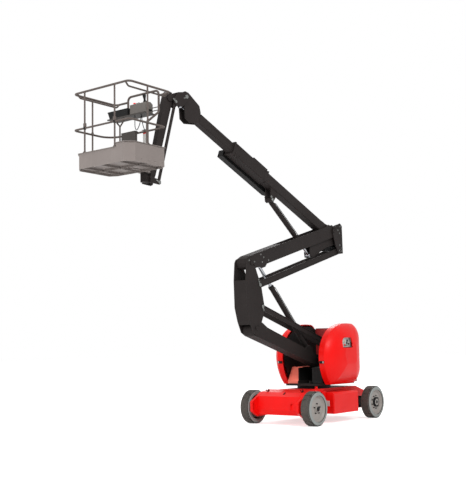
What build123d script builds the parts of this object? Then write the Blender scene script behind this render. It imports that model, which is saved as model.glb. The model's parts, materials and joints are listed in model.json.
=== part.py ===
from build123d import *
from math import atan2, cos, degrees, hypot, radians, sin
import os

# Articulating boom lift, as parked with its platform raised.
# Units are millimetres. +X points forward, to the platform end. +Y is the machine's left
# and +Z is up. The origin is on the ground under the slewing axis, midway between the axles.

os.makedirs("parts", exist_ok=True)

# ---------------------------------------------------------------- driving dimensions

# fits
gap = 0.3                 # seated faces of different pieces
pin_gap = 0.3             # pin in its bore, on the radius
run_gap = 6.0             # plates that swing past each other

# wheels
wheelbase = 2000.0
overall_width = 1500.0
tyre_radius = 300.0
tyre_width = 190.0
rim_radius = 230.0
tyre_shoulder = 28.0
rim_wall = 12.0
rim_setback = 14.0        # rim edge behind the tyre's sidewall
disc_setback = 42.0       # wheel disc behind the tyre's outer face
disc_thickness = 14.0
front_hub_radius = 52.0
drive_hub_radius = 88.0
spindle_radius = 34.0

# chassis
tyre_gap = 90.0           # inner face of the tyre to the front housing and to the kingpin
housing_half = overall_width / 2 - tyre_width - tyre_gap   # between the cheek plates
cheek_thickness = 50.0
cheek_front = 1283.0
panel_front = 1132.0      # recessed front panel
housing_rear = 690.0
deck_height = 600.0
frame_half = 325.0
frame_bottom = 175.0
frame_rear = 1270.0
box_front = 350.0         # battery boxes at the sides
box_rear = -500.0
box_half = 650.0
box_bottom = 165.0
box_top = 545.0

# steered rear axle
kingpin_offset = overall_width / 2 - tyre_width - tyre_gap
kingpin_radius = 24.0
yoke_radius = 50.0
yoke_half_height = 105.0
yoke_thickness = 26.0
axle_half_width = 70.0

# slewing ring and turret floor
ring_radius = 310.0
ring_bore = 235.0
ring_height = 56.0
floor_thickness = 34.0
turret_front = 430.0
turret_rear = 1040.0
turret_half = 330.0
window_centre = (-75.0, 1428.0)
window_width = 290.0
window_height = 185.0
cover_inner = 145.0       # sloped inner cover beside the arm
cover_outer = 377.0

# folding arms: pin centres in the plane of symmetry, as (x, z), and steps between pins
lower_arm_foot = (-700.0, 890.0)
lower_arm_reach = (2615.0, 810.0)
lower_tie_offset = (-180.0, 370.0)
knuckle_rise = (110.0, 1108.0)
upper_tie_offset = (-225.0, -368.0)
upper_arm_reach = (-2645.0, 772.0)
arm_half = 110.0
arm_wall = 12.0
arm_pin_radius = 30.0
boss_radius = 54.0
plate_half = 118.0        # inner faces of the knuckle's and the head's plates
plate_thickness = 16.0
tie_depth = 96.0
tie_web = 10.0
tie_flange = 34.0
tie_pin_radius = 24.0
tie_boss_radius = 44.0

# main boom
boom_pivot_step = (220.0, 23.0)      # from the head's pin on the upper arm
boom_angle = 22.4
base_half = 80.0
base_depth = 194.0
sleeve_half = 96.0
sleeve_depth = 220.0
sleeve_start = 2000.0
sleeve_end = 3020.0
inner_half = 65.0
inner_depth = 168.0
inner_start = 1100.0
inner_end = 3937.0
boom_wall = 8.0
boom_pin_radius = 32.0
boom_ear_out = 74.0       # outer ends of the pins in the head's cylinder plates
pad_depth = 9.0
tray_start = 1475.0
tray_end = 3050.0
tray_depth = 125.0
tray_low = 155.0
tray_width = 112.0

# hydraulic cylinders
riser_foot_place = (996.2, 154.1)    # along and above the lower arm
riser_eye_place = (-351.5, -116.2)   # from the knuckle's pin, along and above the upper arm
riser_barrel_radius = 46.0
riser_rod_radius = 30.0
lift_foot_step = (690.0, -510.0)     # from the head's pin on the upper arm
lift_eye_place = (1708.1, -290.8)    # along and above the boom
lift_barrel_radius = 44.0
lift_rod_radius = 26.0
inner_plate_half = 56.0   # inner faces of the head's cylinder plates
inner_plate_thickness = 12.0
riser_rod_half = 57.7     # half widths of the rods' eyes
lift_rod_half = 52.7
level_rod_half = 29.7
jib_rod_half = 36.7
lift_ear_half = 52.0      # inner faces of the boom's ears

# boom nose, level bracket, jib
nose_place = (4379.2, 127.9)         # levelling pin, along and above the boom
level_foot_place = (3768.3, -42.1)
level_eye_step = (35.0, -150.0)
jib_pin_step = (375.0, -90.0)
jib_reach = (400.0, -1340.0)
link_offset = (-115.0, -40.0)
jib_half = 45.0
jib_plate = 8.0
jib_depth_top = 150.0
jib_depth_low = 92.0
link_depth = 56.0
link_half = 67.0          # inner faces of the link's two bars
link_thickness = 12.0
jib_cylinder_step = (-11.0, -120.0)
jib_cylinder_along = 550.0
jib_cylinder_radius = 20.0
bracket_inner = 50.0      # inner faces of the jib pin's plates
bracket_outer = 84.0      # inner faces of the outer plates
bracket_plate = 10.0
nose_half = 50.0          # inner faces of the nose plates
nose_plate = 12.0

# platform
rotator_step = 125.0      # turning axis ahead of the jib's lower pin
rotator_radius = 56.0
floor_step = 110.0        # floor's underside above the jib's lower pin
tray_step = 100.0         # back of the tray ahead of the turning axis
tray_length = 790.0
tray_side = 577.0
tray_corner = 115.0
floor_thickness_tray = 12.0
foot_recess = 3.0         # sunk strip along the back, where the rails' feet stand
toe_low = 200.0
toe_high = 255.0
toe_split = 300.0         # the wall is higher to the left of this
toe_wall = 8.0
rib_depth = 34.0
rail_height = 1111.0
rail_mid_height = 563.0
rail_overhang = 80.0      # top rail behind the tray
mid_inset = 40.0          # mid rail ahead of the back of the tray
entry_right = -340.0      # posts beside the entrance
entry_left = 285.0
side_post_step = 415.0
guard_right = -307.0      # legs of the guard over the control box
guard_left = 335.0
guard_rise = 80.0
guard_foot = 205.0
hand_hold_inset = 74.0
hand_hold_drop = 58.0
fork_post = -370.0        # forked post under the shelf
shelf_drop = 281.0
shelf_thickness = 13.0
box_height = 158.0        # control box
bin_height = 105.0        # tool bin
box_left = 230.0
box_right = -100.0
box_front_step = 100.0    # front of the control box ahead of the back of the tray
rail_radius = 16.0
post_radius = 13.0

# ---------------------------------------------------------------- places worked out


def moved(point, step, scale=1.0):
    return (point[0] + scale * step[0], point[1] + scale * step[1])


def length_of(step):
    return hypot(step[0], step[1])


def angle_of(a, b):
    return degrees(atan2(b[1] - a[1], b[0] - a[0]))


wheel_x = wheelbase / 2
tyre_outer = overall_width / 2
tyre_inner = tyre_outer - tyre_width
lower_tie_foot = moved(lower_arm_foot, lower_tie_offset)
knuckle_lower_pin = moved(lower_arm_foot, lower_arm_reach)
knuckle_tie_pin = moved(lower_tie_foot, lower_arm_reach)
knuckle_upper_pin = moved(knuckle_lower_pin, knuckle_rise)
upper_tie_pin = moved(knuckle_upper_pin, upper_tie_offset)
head_pin = moved(knuckle_upper_pin, upper_arm_reach)
head_tie_pin = moved(upper_tie_pin, upper_arm_reach)
boom_pivot = moved(head_pin, boom_pivot_step)
lower_angle = angle_of(lower_arm_foot, knuckle_lower_pin)
upper_turn = angle_of(head_pin, knuckle_upper_pin)


def along_point(pin, turn, point):
    """Local place (along, upward) from a pin, as a place in the side view."""
    c = cos(radians(turn))
    s = sin(radians(turn))
    return (pin[0] + c * point[0] - s * point[1], pin[1] + s * point[0] + c * point[1])


riser_foot = along_point(lower_arm_foot, lower_angle, riser_foot_place)
riser_eye = along_point(knuckle_upper_pin, upper_turn, riser_eye_place)
lift_foot = moved(head_pin, lift_foot_step)
lift_eye = along_point(boom_pivot, boom_angle, lift_eye_place)
level_pin = along_point(boom_pivot, boom_angle, nose_place)
level_foot = along_point(boom_pivot, boom_angle, level_foot_place)
level_eye = moved(level_pin, level_eye_step)
jib_pin = moved(level_pin, jib_pin_step)
jib_cylinder_foot = moved(jib_pin, jib_cylinder_step)
jib_low_pin = moved(jib_pin, jib_reach)
link_pin = moved(jib_pin, link_offset)
link_low_pin = moved(jib_low_pin, link_offset)
rotator_x = jib_low_pin[0] + rotator_step
floor_low = jib_low_pin[1] + floor_step
tray_back = rotator_x + tray_step
tray_front = tray_back + tray_length
rail_top = floor_low + rail_height
rail_mid = floor_low + rail_mid_height
rail_back = tray_back - rail_overhang
rail_front = tray_front
rail_side = tray_side
floor_low_z = deck_height + ring_height + gap
floor_top_z = floor_low_z + floor_thickness


def side_plane(y=0.0):
    """Upright plane seen from the machine's left: local x is +X and local y is +Z."""
    return Plane(origin=(0, y, 0), x_dir=(1, 0, 0), z_dir=(0, -1, 0))


def pin_plane(pin, angle, y=0.0):
    """Upright plane at a pin with its local x turned up by the angle."""
    return Plane(
        origin=(pin[0], y, pin[1]),
        x_dir=(cos(radians(angle)), 0, sin(radians(angle))),
        z_dir=(0, -1, 0),
    )


def disc_across(pin, radius, half_width, mode=Mode.ADD):
    """A round bar across the plane of symmetry."""
    with BuildSketch(side_plane()) as disc:
        with Locations(pin):
            Circle(radius)
    extrude(disc.sketch, amount=half_width, both=True, mode=mode)


def discs_between(pin, radius, inner, outer, mode=Mode.ADD):
    """Two round bars, one on each side, from the inner to the outer distance."""
    for side in (1, -1):
        with BuildSketch(side_plane(side * inner)) as disc:
            with Locations(pin):
                Circle(radius)
        extrude(disc.sketch, amount=-side * (outer - inner), mode=mode)


def plates_between(outline, inner, outer, mode=Mode.ADD):
    """Two upright plates of one outline, one on each side."""
    for side in (1, -1):
        with BuildSketch(side_plane(side * inner)) as face:
            with BuildLine():
                Polyline(*outline, close=True)
            make_face()
        extrude(face.sketch, amount=-side * (outer - inner), mode=mode)


def block_across(outline, half_width, mode=Mode.ADD):
    """A prism of an upright outline across the plane of symmetry."""
    with BuildSketch(side_plane()) as face:
        with BuildLine():
            Polyline(*outline, close=True)
        make_face()
    extrude(face.sketch, amount=half_width, both=True, mode=mode)


def finish(piece, name):
    piece.part.label = name
    export_step(piece.part, f"parts/{name}.step")


# ---------------------------------------------------------------- wheels


def wheel_plane(x):
    """Local x is the machine's width and local y the wheel's radius."""
    return Plane(origin=(x, 0, tyre_radius), x_dir=(0, 1, 0), z_dir=(1, 0, 0))


def wheel_axis(x):
    return Axis((x, 0, tyre_radius), (0, 1, 0))


def make_tyre(x, side):
    with BuildPart() as tyre:
        with BuildSketch(wheel_plane(x)) as section:
            with Locations((side * (tyre_inner + tyre_outer) / 2, (tyre_radius + rim_radius) / 2)):
                Rectangle(tyre_width, tyre_radius - rim_radius)
            fillet(section.vertices().group_by(Axis.Z)[-1], radius=tyre_shoulder)
        revolve(axis=wheel_axis(x))
    return tyre


def make_wheel(x, side, hub_radius, hub_face):
    """Dished steel wheel with its hub, as one turned piece."""
    rim_in = tyre_inner + rim_setback
    rim_out = tyre_outer - rim_setback
    disc_out = tyre_outer - disc_setback
    disc_in = disc_out - disc_thickness
    outline = [
        (rim_in, rim_radius - gap),
        (rim_out, rim_radius - gap),
        (rim_out, rim_radius - rim_wall),
        (disc_out, rim_radius - rim_wall - 26),
        (disc_out, hub_radius + 34),
        (disc_out + 8, hub_radius + 24),
        (disc_out + 8, hub_radius),
        (hub_face - 8, hub_radius),
        (hub_face, hub_radius - 10),
        (hub_face, 0),
        (disc_in + 12, 0),
        (disc_in + 12, spindle_radius + pin_gap),
        (tyre_inner + 20, spindle_radius + pin_gap),
        (tyre_inner + 20, hub_radius),
        (disc_in, hub_radius + 6),
        (disc_in, rim_radius - rim_wall - 30),
        (rim_out - 24, rim_radius - rim_wall),
        (rim_in, rim_radius - rim_wall),
    ]
    with BuildPart() as wheel:
        with BuildSketch(wheel_plane(x)):
            with BuildLine():
                Polyline(*[(side * y, r) for y, r in outline], close=True)
            make_face()
        revolve(axis=wheel_axis(x))
    return wheel


# name, x, side (+1 left), hub radius, hub face
wheel_table = [
    ("front_left", wheel_x, 1, front_hub_radius, tyre_outer - 12),
    ("front_right", wheel_x, -1, front_hub_radius, tyre_outer - 12),
    ("rear_left", -wheel_x, 1, drive_hub_radius, tyre_outer),
    ("rear_right", -wheel_x, -1, drive_hub_radius, tyre_outer),
]
for name, x, side, hub_radius, hub_face in wheel_table:
    finish(make_tyre(x, side), f"tyre_{name}")
    finish(make_wheel(x, side, hub_radius, hub_face), f"wheel_{name}")

# ---------------------------------------------------------------- chassis

cheek_half = housing_half + cheek_thickness
housing_outline = [
    (panel_front - 20, frame_bottom),
    (panel_front, 262),
    (panel_front - 26, 500),
    (985, 567),
    (housing_rear, deck_height),
    (-frame_rear + 330, deck_height),
    (-frame_rear, 500),
    (-frame_rear, 300),
    (-frame_rear + 120, frame_bottom),
]
cheek_outline = [
    (cheek_front - 12, 228),
    (cheek_front, 252),
    (cheek_front, 395),
    (cheek_front - 18, 420),
    (985, 567),
    (housing_rear, deck_height),
    (housing_rear, 470),
    (housing_rear + 60, 150),
    (1110, 140),
]
with BuildPart() as chassis_frame:
    block_across(housing_outline, frame_half)
    # full-width front housing, stepped in behind the front wheels
    block_across(
        [p for p in housing_outline if p[0] > housing_rear - 1] + [(housing_rear, frame_bottom)],
        housing_half,
    )
    plates_between(cheek_outline, housing_half, cheek_half)
    # lashing slots in the cheek plates
    for side in (1, -1):
        with BuildSketch(side_plane(side * (housing_half - 1))):
            with Locations((cheek_front - 38, 325)):
                SlotOverall(130, 26, rotation=90)
        extrude(amount=-side * (cheek_thickness + 2), mode=Mode.SUBTRACT)
    # recess above the steered axle
    with BuildSketch(Plane.XY.offset(frame_bottom - 1)):
        with Locations((-wheel_x, 0)):
            Rectangle(2 * axle_half_width + 2 * gap, 2 * frame_half + 2)
    extrude(amount=tyre_radius + 62 - frame_bottom, mode=Mode.SUBTRACT)
finish(chassis_frame, "chassis_frame")

with BuildPart() as side_boxes:
    for side in (1, -1):
        width = box_half - frame_half - gap
        y = side * (frame_half + gap + width / 2)
        with BuildSketch(Plane.XY.offset(box_bottom)):
            with Locations(((box_front + box_rear) / 2, y)):
                Rectangle(box_front - box_rear, width)
        extrude(amount=box_top - box_bottom)
    outer = side_boxes.edges().filter_by(Axis.X).group_by(Axis.Z)[-1]
    chamfer([e for e in outer if abs(e.center().Y) > box_half - 1], length=34)
    ends = side_boxes.edges().filter_by(Axis.Z)
    fillet([e for e in ends if abs(e.center().Y) > box_half - 1], radius=22)
finish(side_boxes, "side_boxes")

with BuildPart() as front_axle:
    # flanged stub axles on the cheek plates
    for side in (1, -1):
        for radius, inner, outer in (
            (96, cheek_half, cheek_half + 12),
            (spindle_radius, cheek_half, tyre_outer - disc_setback - disc_thickness),
        ):
            with BuildSketch(side_plane(side * inner)):
                with Locations((wheel_x, tyre_radius)):
                    Circle(radius)
            extrude(amount=-side * (outer - inner))
finish(front_axle, "front_stub_axles")

with BuildPart() as rear_axle:
    # cast beam with a forked end round each steering knuckle
    with BuildSketch(Plane.XY.offset(tyre_radius - 60)):
        with Locations((-wheel_x, 0)):
            Rectangle(2 * axle_half_width, 2 * (kingpin_offset - yoke_radius - 24))
    extrude(amount=120)
    for side in (1, -1):
        y = side * (kingpin_offset - yoke_radius - 24)
        with BuildSketch(Plane.XY.offset(tyre_radius - yoke_half_height)):
            with Locations((-wheel_x, y - side * 20)):
                Rectangle(2 * axle_half_width, 40)
        extrude(amount=2 * yoke_half_height)
        for low in (tyre_radius - yoke_half_height, tyre_radius + yoke_half_height - yoke_thickness):
            with BuildSketch(Plane.XY.offset(low)):
                with Locations((-wheel_x, side * kingpin_offset)):
                    Circle(yoke_radius)
                with Locations((-wheel_x, side * (kingpin_offset - yoke_radius))):
                    Rectangle(2 * yoke_radius, 2 * yoke_radius)
            extrude(amount=yoke_thickness)
        with BuildSketch(Plane.XY.offset(tyre_radius - yoke_half_height)):
            with Locations((-wheel_x, side * kingpin_offset)):
                Circle(kingpin_radius)
        extrude(amount=2 * yoke_half_height)
finish(rear_axle, "rear_axle_beam")

knuckle_half_height = yoke_half_height - yoke_thickness - 5
for name, side in (("left", 1), ("right", -1)):
    with BuildPart() as steering_knuckle:
        with BuildSketch(Plane.XY.offset(tyre_radius - knuckle_half_height)):
            with Locations((-wheel_x, side * kingpin_offset)):
                Circle(yoke_radius - 4)
        extrude(amount=2 * knuckle_half_height)
        with BuildSketch(side_plane(side * (kingpin_offset + 20))):
            with Locations((-wheel_x, tyre_radius)):
                Circle(knuckle_half_height)
        extrude(amount=-side * (tyre_inner + 6 - kingpin_offset - 20))
        with BuildSketch(side_plane(side * tyre_inner)):
            with Locations((-wheel_x, tyre_radius)):
                Circle(spindle_radius)
        extrude(amount=-side * (tyre_width - disc_setback - disc_thickness))
        with BuildSketch(Plane.XY.offset(tyre_radius - yoke_half_height)):
            with Locations((-wheel_x, side * kingpin_offset)):
                Circle(kingpin_radius + pin_gap)
        extrude(amount=2 * yoke_half_height, mode=Mode.SUBTRACT)
    finish(steering_knuckle, f"steering_knuckle_{name}")

with BuildPart() as slew_ring:
    with BuildSketch(Plane.XY.offset(deck_height + gap)):
        Circle(ring_radius)
        Circle(ring_bore, mode=Mode.SUBTRACT)
    extrude(amount=ring_height - gap)
finish(slew_ring, "slew_ring")

# ---------------------------------------------------------------- turret

ear_outline = [
    (-965, floor_top_z - 4),
    (-965, 1290),
    (-930, 1325),
    (-840, 1325),
    (-790, 1270),
    (-600, 960),
    (-420, floor_top_z + 60),
    (330, floor_top_z + 50),
    (330, floor_top_z - 4),
]
with BuildPart() as turret_frame:
    with BuildSketch(Plane.XY.offset(floor_low_z)) as floor:
        with Locations(((turret_front - turret_rear) / 2, 0)):
            Rectangle(turret_front + turret_rear, 2 * turret_half)
        chamfer(floor.vertices().group_by(Axis.X)[0], length=150)
    extrude(amount=floor_thickness)
    plates_between(ear_outline, plate_half, plate_half + plate_thickness)
    disc_across(lower_tie_foot, tie_pin_radius, plate_half + plate_thickness)
    disc_across(lower_arm_foot, arm_pin_radius, plate_half + plate_thickness)
finish(turret_frame, "turret_frame")

hinge_place = (-744.0, 440.0)   # hood hinge in plan
hinge_radius = 15.0
hinge_pin_radius = 7.0
hinge_length = 44.0
hinge_heights = (1120.0, 1420.0)
slot_half = plate_half + plate_thickness + 8
with BuildPart() as counterweight:
    # cast weight wrapped round the ears at the tail
    with BuildSketch(Plane.XY.offset(floor_top_z + gap)):
        with BuildLine():
            Polyline(
                (-turret_rear, 250),
                (-905, 385),
                (-690, 385),
                (-690, slot_half),
                (-975, slot_half),
                (-975, -slot_half),
                (-690, -slot_half),
                (-690, -385),
                (-905, -385),
                (-turret_rear, -250),
                close=True,
            )
        make_face()
    extrude(amount=1710 - floor_top_z - gap)
    top_edges = counterweight.edges().group_by(Axis.Z)[-1]
    chamfer(top_edges.filter_by(Axis.Y).sort_by(Axis.X)[0], length=60)
    # hinge leaves and pins for the hoods
    for side in (1, -1):
        for low in hinge_heights:
            with BuildSketch(Plane.XY.offset(low)):
                with Locations((hinge_place[0], side * hinge_place[1])):
                    Circle(hinge_radius)
                with Locations((hinge_place[0] - 5, side * (hinge_place[1] + 380) / 2)):
                    Rectangle(20, hinge_place[1] - 380)
            extrude(amount=hinge_length)
            with BuildSketch(Plane.XY.offset(low + hinge_length)):
                with Locations((hinge_place[0], side * hinge_place[1])):
                    Circle(hinge_pin_radius)
            extrude(amount=hinge_length)
finish(counterweight, "counterweight")


hood_centre = (-175.0, 1230.0)
hood_inner = 400.0
hood_skin = 14.0
# distance from the plane of symmetry and share of the full outline there
hood_swell = [(hood_inner, 1.0), (510.0, 1.0), (600.0, 0.87), (675.0, 0.64), (722.0, 0.34)]


def hood_bulk(side, skin, start):
    """The hood's pillow form, drawn inwards by the skin for its inner face."""

    def at(x, z, share):
        k = share - skin / 590
        return (hood_centre[0] + k * (x - hood_centre[0]), hood_centre[1] + k * (z - hood_centre[1]))

    faces = []
    for reach, share in hood_swell:
        y = side * (start if reach == hood_inner else reach - skin)
        with BuildSketch(side_plane(y)) as face:
            with BuildLine():
                Line(at(-560, 676, share), at(227, 676, share))
                ThreePointArc(at(227, 676, share), at(348, 845, share), at(412, 1030, share))
                ThreePointArc(at(412, 1030, share), at(424, 1240, share), at(359, 1436, share))
                ThreePointArc(at(359, 1436, share), at(236, 1592, share), at(76, 1700, share))
                ThreePointArc(at(76, 1700, share), at(-150, 1766, share), at(-407, 1785, share))
                Line(at(-407, 1785, share), at(-520, 1780, share))
                ThreePointArc(at(-520, 1780, share), at(-665, 1716, share), at(-722, 1570, share))
                Line(at(-722, 1570, share), at(-722, 940, share))
                ThreePointArc(at(-722, 940, share), at(-688, 780, share), at(-560, 676, share))
            make_face()
        faces.append(face.sketch)
    with BuildPart() as bulk:
        extrude(faces[0], amount=hood_swell[1][0] - skin - start, dir=(0, side, 0))
        loft(faces[1:])
    return bulk


for name, side in (("left", 1), ("right", -1)):
    outer_form = hood_bulk(side, 0.0, hood_inner)
    inner_form = hood_bulk(side, hood_skin, hood_inner - 30)
    with BuildPart() as hood:
        add(outer_form.part)
        add(inner_form.part, mode=Mode.SUBTRACT)
        # hinge leaves on the counterweight's pins
        for low in hinge_heights:
            with BuildSketch(Plane.XY.offset(low + hinge_length + gap)):
                with Locations((hinge_place[0], side * hinge_place[1])):
                    Circle(hinge_radius)
                with Locations(((hinge_place[0] - 712) / 2, side * (hinge_place[1] + 4))):
                    Rectangle(-712 - hinge_place[0], 14)
                with Locations((hinge_place[0], side * hinge_place[1])):
                    Circle(hinge_pin_radius + pin_gap, mode=Mode.SUBTRACT)
            extrude(amount=hinge_length - 2 * gap)
        if side > 0:
            # window over the ground controls, with one large corner
            with BuildSketch(side_plane(500)) as window:
                with Locations(window_centre):
                    Rectangle(window_width, window_height)
                corners = window.vertices().group_by(Axis.X)[-1]
                fillet(corners.sort_by(Axis.Z)[-1], radius=110)
            extrude(amount=-400, mode=Mode.SUBTRACT)
    finish(hood, f"hood_{name}")

liner_thickness = 8.0
with BuildPart() as side_liners:
    # bulkheads behind the hoods, seated on the weight's flanks
    for side in (1, -1):
        with BuildSketch(side_plane(side * (385 + gap))) as bulkhead:
            with BuildLine():
                Polyline(
                    (-690, floor_top_z + 20),
                    (200, floor_top_z + 20),
                    (372, 1030),
                    (384, 1240),
                    (325, 1420),
                    (210, 1570),
                    (60, 1668),
                    (-150, 1728),
                    (-520, 1744),
                    (-690, 1690),
                    close=True,
                )
            make_face()
            fillet(bulkhead.vertices().filter_by(lambda v: v.X > -600), radius=60)
        extrude(amount=-side * liner_thickness)
finish(side_liners, "side_liners")

with BuildPart() as ground_controls:
    # panel behind the window, on a bracket from the bulkhead
    panel_outer = 636.0
    with BuildSketch(side_plane(panel_outer - 90)):
        with Locations(window_centre):
            Rectangle(window_width - 20, window_height - 20)
    extrude(amount=-90)
    with BuildSketch(side_plane(385 + liner_thickness + 2 * gap)):
        with Locations(window_centre):
            Rectangle(120, 80)
            Rectangle(108, 68, mode=Mode.SUBTRACT)
    extrude(amount=-(panel_outer - 89 - 385 - liner_thickness))
finish(ground_controls, "ground_controls")

with BuildPart() as inner_cover:
    # sloped cover beside the arm
    with BuildSketch(side_plane(-cover_inner)):
        with BuildLine():
            Polyline(
                (-350, floor_top_z + gap),
                (300, floor_top_z + gap),
                (300, 730),
                (150, 990),
                (-350, 990),
                close=True,
            )
        make_face()
    extrude(amount=cover_outer - cover_inner)
finish(inner_cover, "inner_cover")

# ---------------------------------------------------------------- lower arm, tie and knuckle


lower_length = length_of(lower_arm_reach)
with BuildPart() as lower_arm:
    with BuildSketch(pin_plane(lower_arm_foot, lower_angle)) as web:
        with BuildLine():
            l1 = Line((0, -88), (lower_length - 60, -128))
            l2 = ThreePointArc(l1 @ 1, (lower_length + 68, -20), (lower_length + 20, 66))
            l3 = Polyline(l2 @ 1, (lower_length - 160, 150), (lower_length - 330, 112), (0, 88))
            ThreePointArc(l3 @ 1, (-88, 0), l1 @ 0)
        make_face()
    extrude(amount=arm_half, both=True)
    # hollow box section, open at the foot
    with BuildSketch(pin_plane(lower_arm_foot, lower_angle)):
        with BuildLine():
            Polyline(
                (-200, -76),
                (lower_length - 60, -116),
                (lower_length + 10, -96),
                (lower_length + 48, -50),
                (lower_length + 52, -10),
                (lower_length + 8, 60),
                (lower_length - 165, 136),
                (lower_length - 328, 100),
                (-200, 76),
                close=True,
            )
        make_face()
    extrude(amount=arm_half - arm_wall, both=True, mode=Mode.SUBTRACT)
    for pin in (lower_arm_foot, knuckle_lower_pin):
        disc_across(pin, boss_radius, arm_half)
        disc_across(pin, arm_pin_radius + pin_gap, arm_half + 1, mode=Mode.SUBTRACT)
    # ears for the riser cylinder's foot
    foot = riser_foot_place
    plates_between(
        [
            along_point(lower_arm_foot, lower_angle, p)
            for p in (
                (foot[0] - 170, 70),
                (foot[0] - 60, foot[1] + 40),
                (foot[0] + 20, foot[1] + 50),
                (foot[0] + 80, foot[1] + 20),
                (foot[0] + 190, 70),
            )
        ],
        riser_barrel_radius + 8,
        riser_barrel_radius + 24,
    )
finish(lower_arm, "lower_arm")


def bar_pair(foot, head, depth, inner, outer, boss, bore):
    """Two parallel bars from pin to pin, round-ended and bored."""
    turn = angle_of(foot, head)
    span = hypot(head[0] - foot[0], head[1] - foot[1])
    for side in (1, -1):
        with BuildSketch(pin_plane(foot, turn, side * inner)) as flank:
            with Locations((span / 2, 0)):
                Rectangle(span, depth)
            with Locations((0, 0), (span, 0)):
                Circle(boss)
            with Locations((0, 0), (span, 0)):
                Circle(bore, mode=Mode.SUBTRACT)
        extrude(flank.sketch, amount=-side * (outer - inner))


def hollow_along(foot, turn, span, depth, flange, inner, outer):
    """Groove the outer faces of a bar pair, which leaves a channel section."""
    for side in (1, -1):
        with BuildSketch(pin_plane(foot, turn, side * (inner + flange))) as flank:
            with Locations((span / 2, 0)):
                Rectangle(span - 190, depth)
        extrude(flank.sketch, amount=-side * (outer - inner), mode=Mode.SUBTRACT)


def cross_tubes(foot, turn, places, radius, half_width):
    for place in places:
        with BuildSketch(pin_plane(foot, turn)) as disc:
            with Locations((place, 0)):
                Circle(radius)
                Circle(radius - 6, mode=Mode.SUBTRACT)
        extrude(disc.sketch, amount=half_width, both=True)


tie_inner = 90.0
lower_tie_turn = angle_of(lower_tie_foot, knuckle_tie_pin)
with BuildPart() as lower_tie:
    bar_pair(
        lower_tie_foot,
        knuckle_tie_pin,
        tie_depth,
        tie_inner,
        arm_half,
        tie_boss_radius + 4,
        tie_pin_radius + pin_gap,
    )
    hollow_along(lower_tie_foot, lower_tie_turn, lower_length, tie_depth - 20, tie_web, tie_inner, arm_half)
    cross_tubes(lower_tie_foot, lower_tie_turn, (250, lower_length - 217), 24, tie_inner + 4)
finish(lower_tie, "lower_tie")

# outline and front web as steps from the knuckle's lower pin
knuckle_outline = [
    moved(knuckle_lower_pin, p)
    for p in (
        (246, 1113),
        (274, 808),
        (260, 347),
        (187, 113),
        (95, -71),
        (-2, -125),
        (-95, -60),
        (-155, 115),
        (-204, 213),
        (-228, 411),
        (-165, 684),
        (-103, 824),
        (-1, 1028),
        (22, 1150),
        (64, 1198),
        (137, 1200),
        (212, 1168),
    )
]
knuckle_web = [
    moved(knuckle_lower_pin, p)
    for p in (
        (274, 808),
        (260, 347),
        (187, 113),
        (158, 56),
        (146, 62),
        (173, 120),
        (246, 350),
        (260, 808),
    )
]
with BuildPart() as knuckle:
    plates_between(knuckle_outline, plate_half, plate_half + plate_thickness)
    block_across(knuckle_web, plate_half + 2)
    for pin, radius in (
        (knuckle_lower_pin, arm_pin_radius),
        (knuckle_upper_pin, arm_pin_radius),
        (knuckle_tie_pin, tie_pin_radius),
        (upper_tie_pin, tie_pin_radius),
    ):
        disc_across(pin, radius, plate_half + plate_thickness + 8)
finish(knuckle, "knuckle")

# ---------------------------------------------------------------- upper arm, tie and head

upper_length = length_of(upper_arm_reach)
upper_plate = 98.0        # inner faces of the upper arm's plates
upper_outline = [
    along_point(head_pin, upper_turn, p)
    for p in (
        (-70, -60),
        (-70, 60),
        (-30, 104),
        (60, 120),
        (upper_length - 40, 120),
        (upper_length + 60, 96),
        (upper_length + 104, 30),
        (upper_length + 96, -50),
        (upper_length + 40, -104),
        (upper_length - 240, -124),
        (upper_length - 290, -160),
        (upper_length - 400, -160),
        (upper_length - 460, -120),
        (60, -120),
        (-30, -104),
    )
]
# top plate, which closes round the knuckle end
upper_top = [
    along_point(head_pin, upper_turn, p)
    for p in (
        (upper_length - 1000, 120),
        (upper_length - 40, 120),
        (upper_length + 60, 96),
        (upper_length + 104, 30),
        (upper_length + 96, -50),
        (upper_length + 40, -104),
        (upper_length + 32, -94),
        (upper_length + 84, -45),
        (upper_length + 92, 28),
        (upper_length + 53, 86),
        (upper_length - 42, 108),
        (upper_length - 1000, 108),
    )
]
with BuildPart() as upper_arm:
    plates_between(upper_outline, upper_plate, arm_half)
    block_across(upper_top, arm_half)
    disc_across(knuckle_upper_pin, boss_radius, arm_half)
    disc_across(knuckle_upper_pin, arm_pin_radius + pin_gap, arm_half + 1, mode=Mode.SUBTRACT)
    discs_between(head_pin, arm_pin_radius + pin_gap, upper_plate - 1, arm_half + 1, mode=Mode.SUBTRACT)
    # flat bosses on both sides of the riser rod's eye
    discs_between(riser_eye, 42, riser_rod_half + gap, upper_plate + 1)
finish(upper_arm, "upper_arm")

upper_tie_turn = angle_of(upper_tie_pin, head_tie_pin)
with BuildPart() as upper_tie:
    bar_pair(
        upper_tie_pin,
        head_tie_pin,
        tie_depth + 20,
        tie_inner,
        arm_half,
        tie_boss_radius + 14,
        tie_pin_radius + pin_gap,
    )
    hollow_along(upper_tie_pin, upper_tie_turn, upper_length, tie_depth, tie_web, tie_inner, arm_half)
    cross_tubes(upper_tie_pin, upper_tie_turn, (1050, 1300), 24, tie_inner + 4)
finish(upper_tie, "upper_tie")

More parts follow.
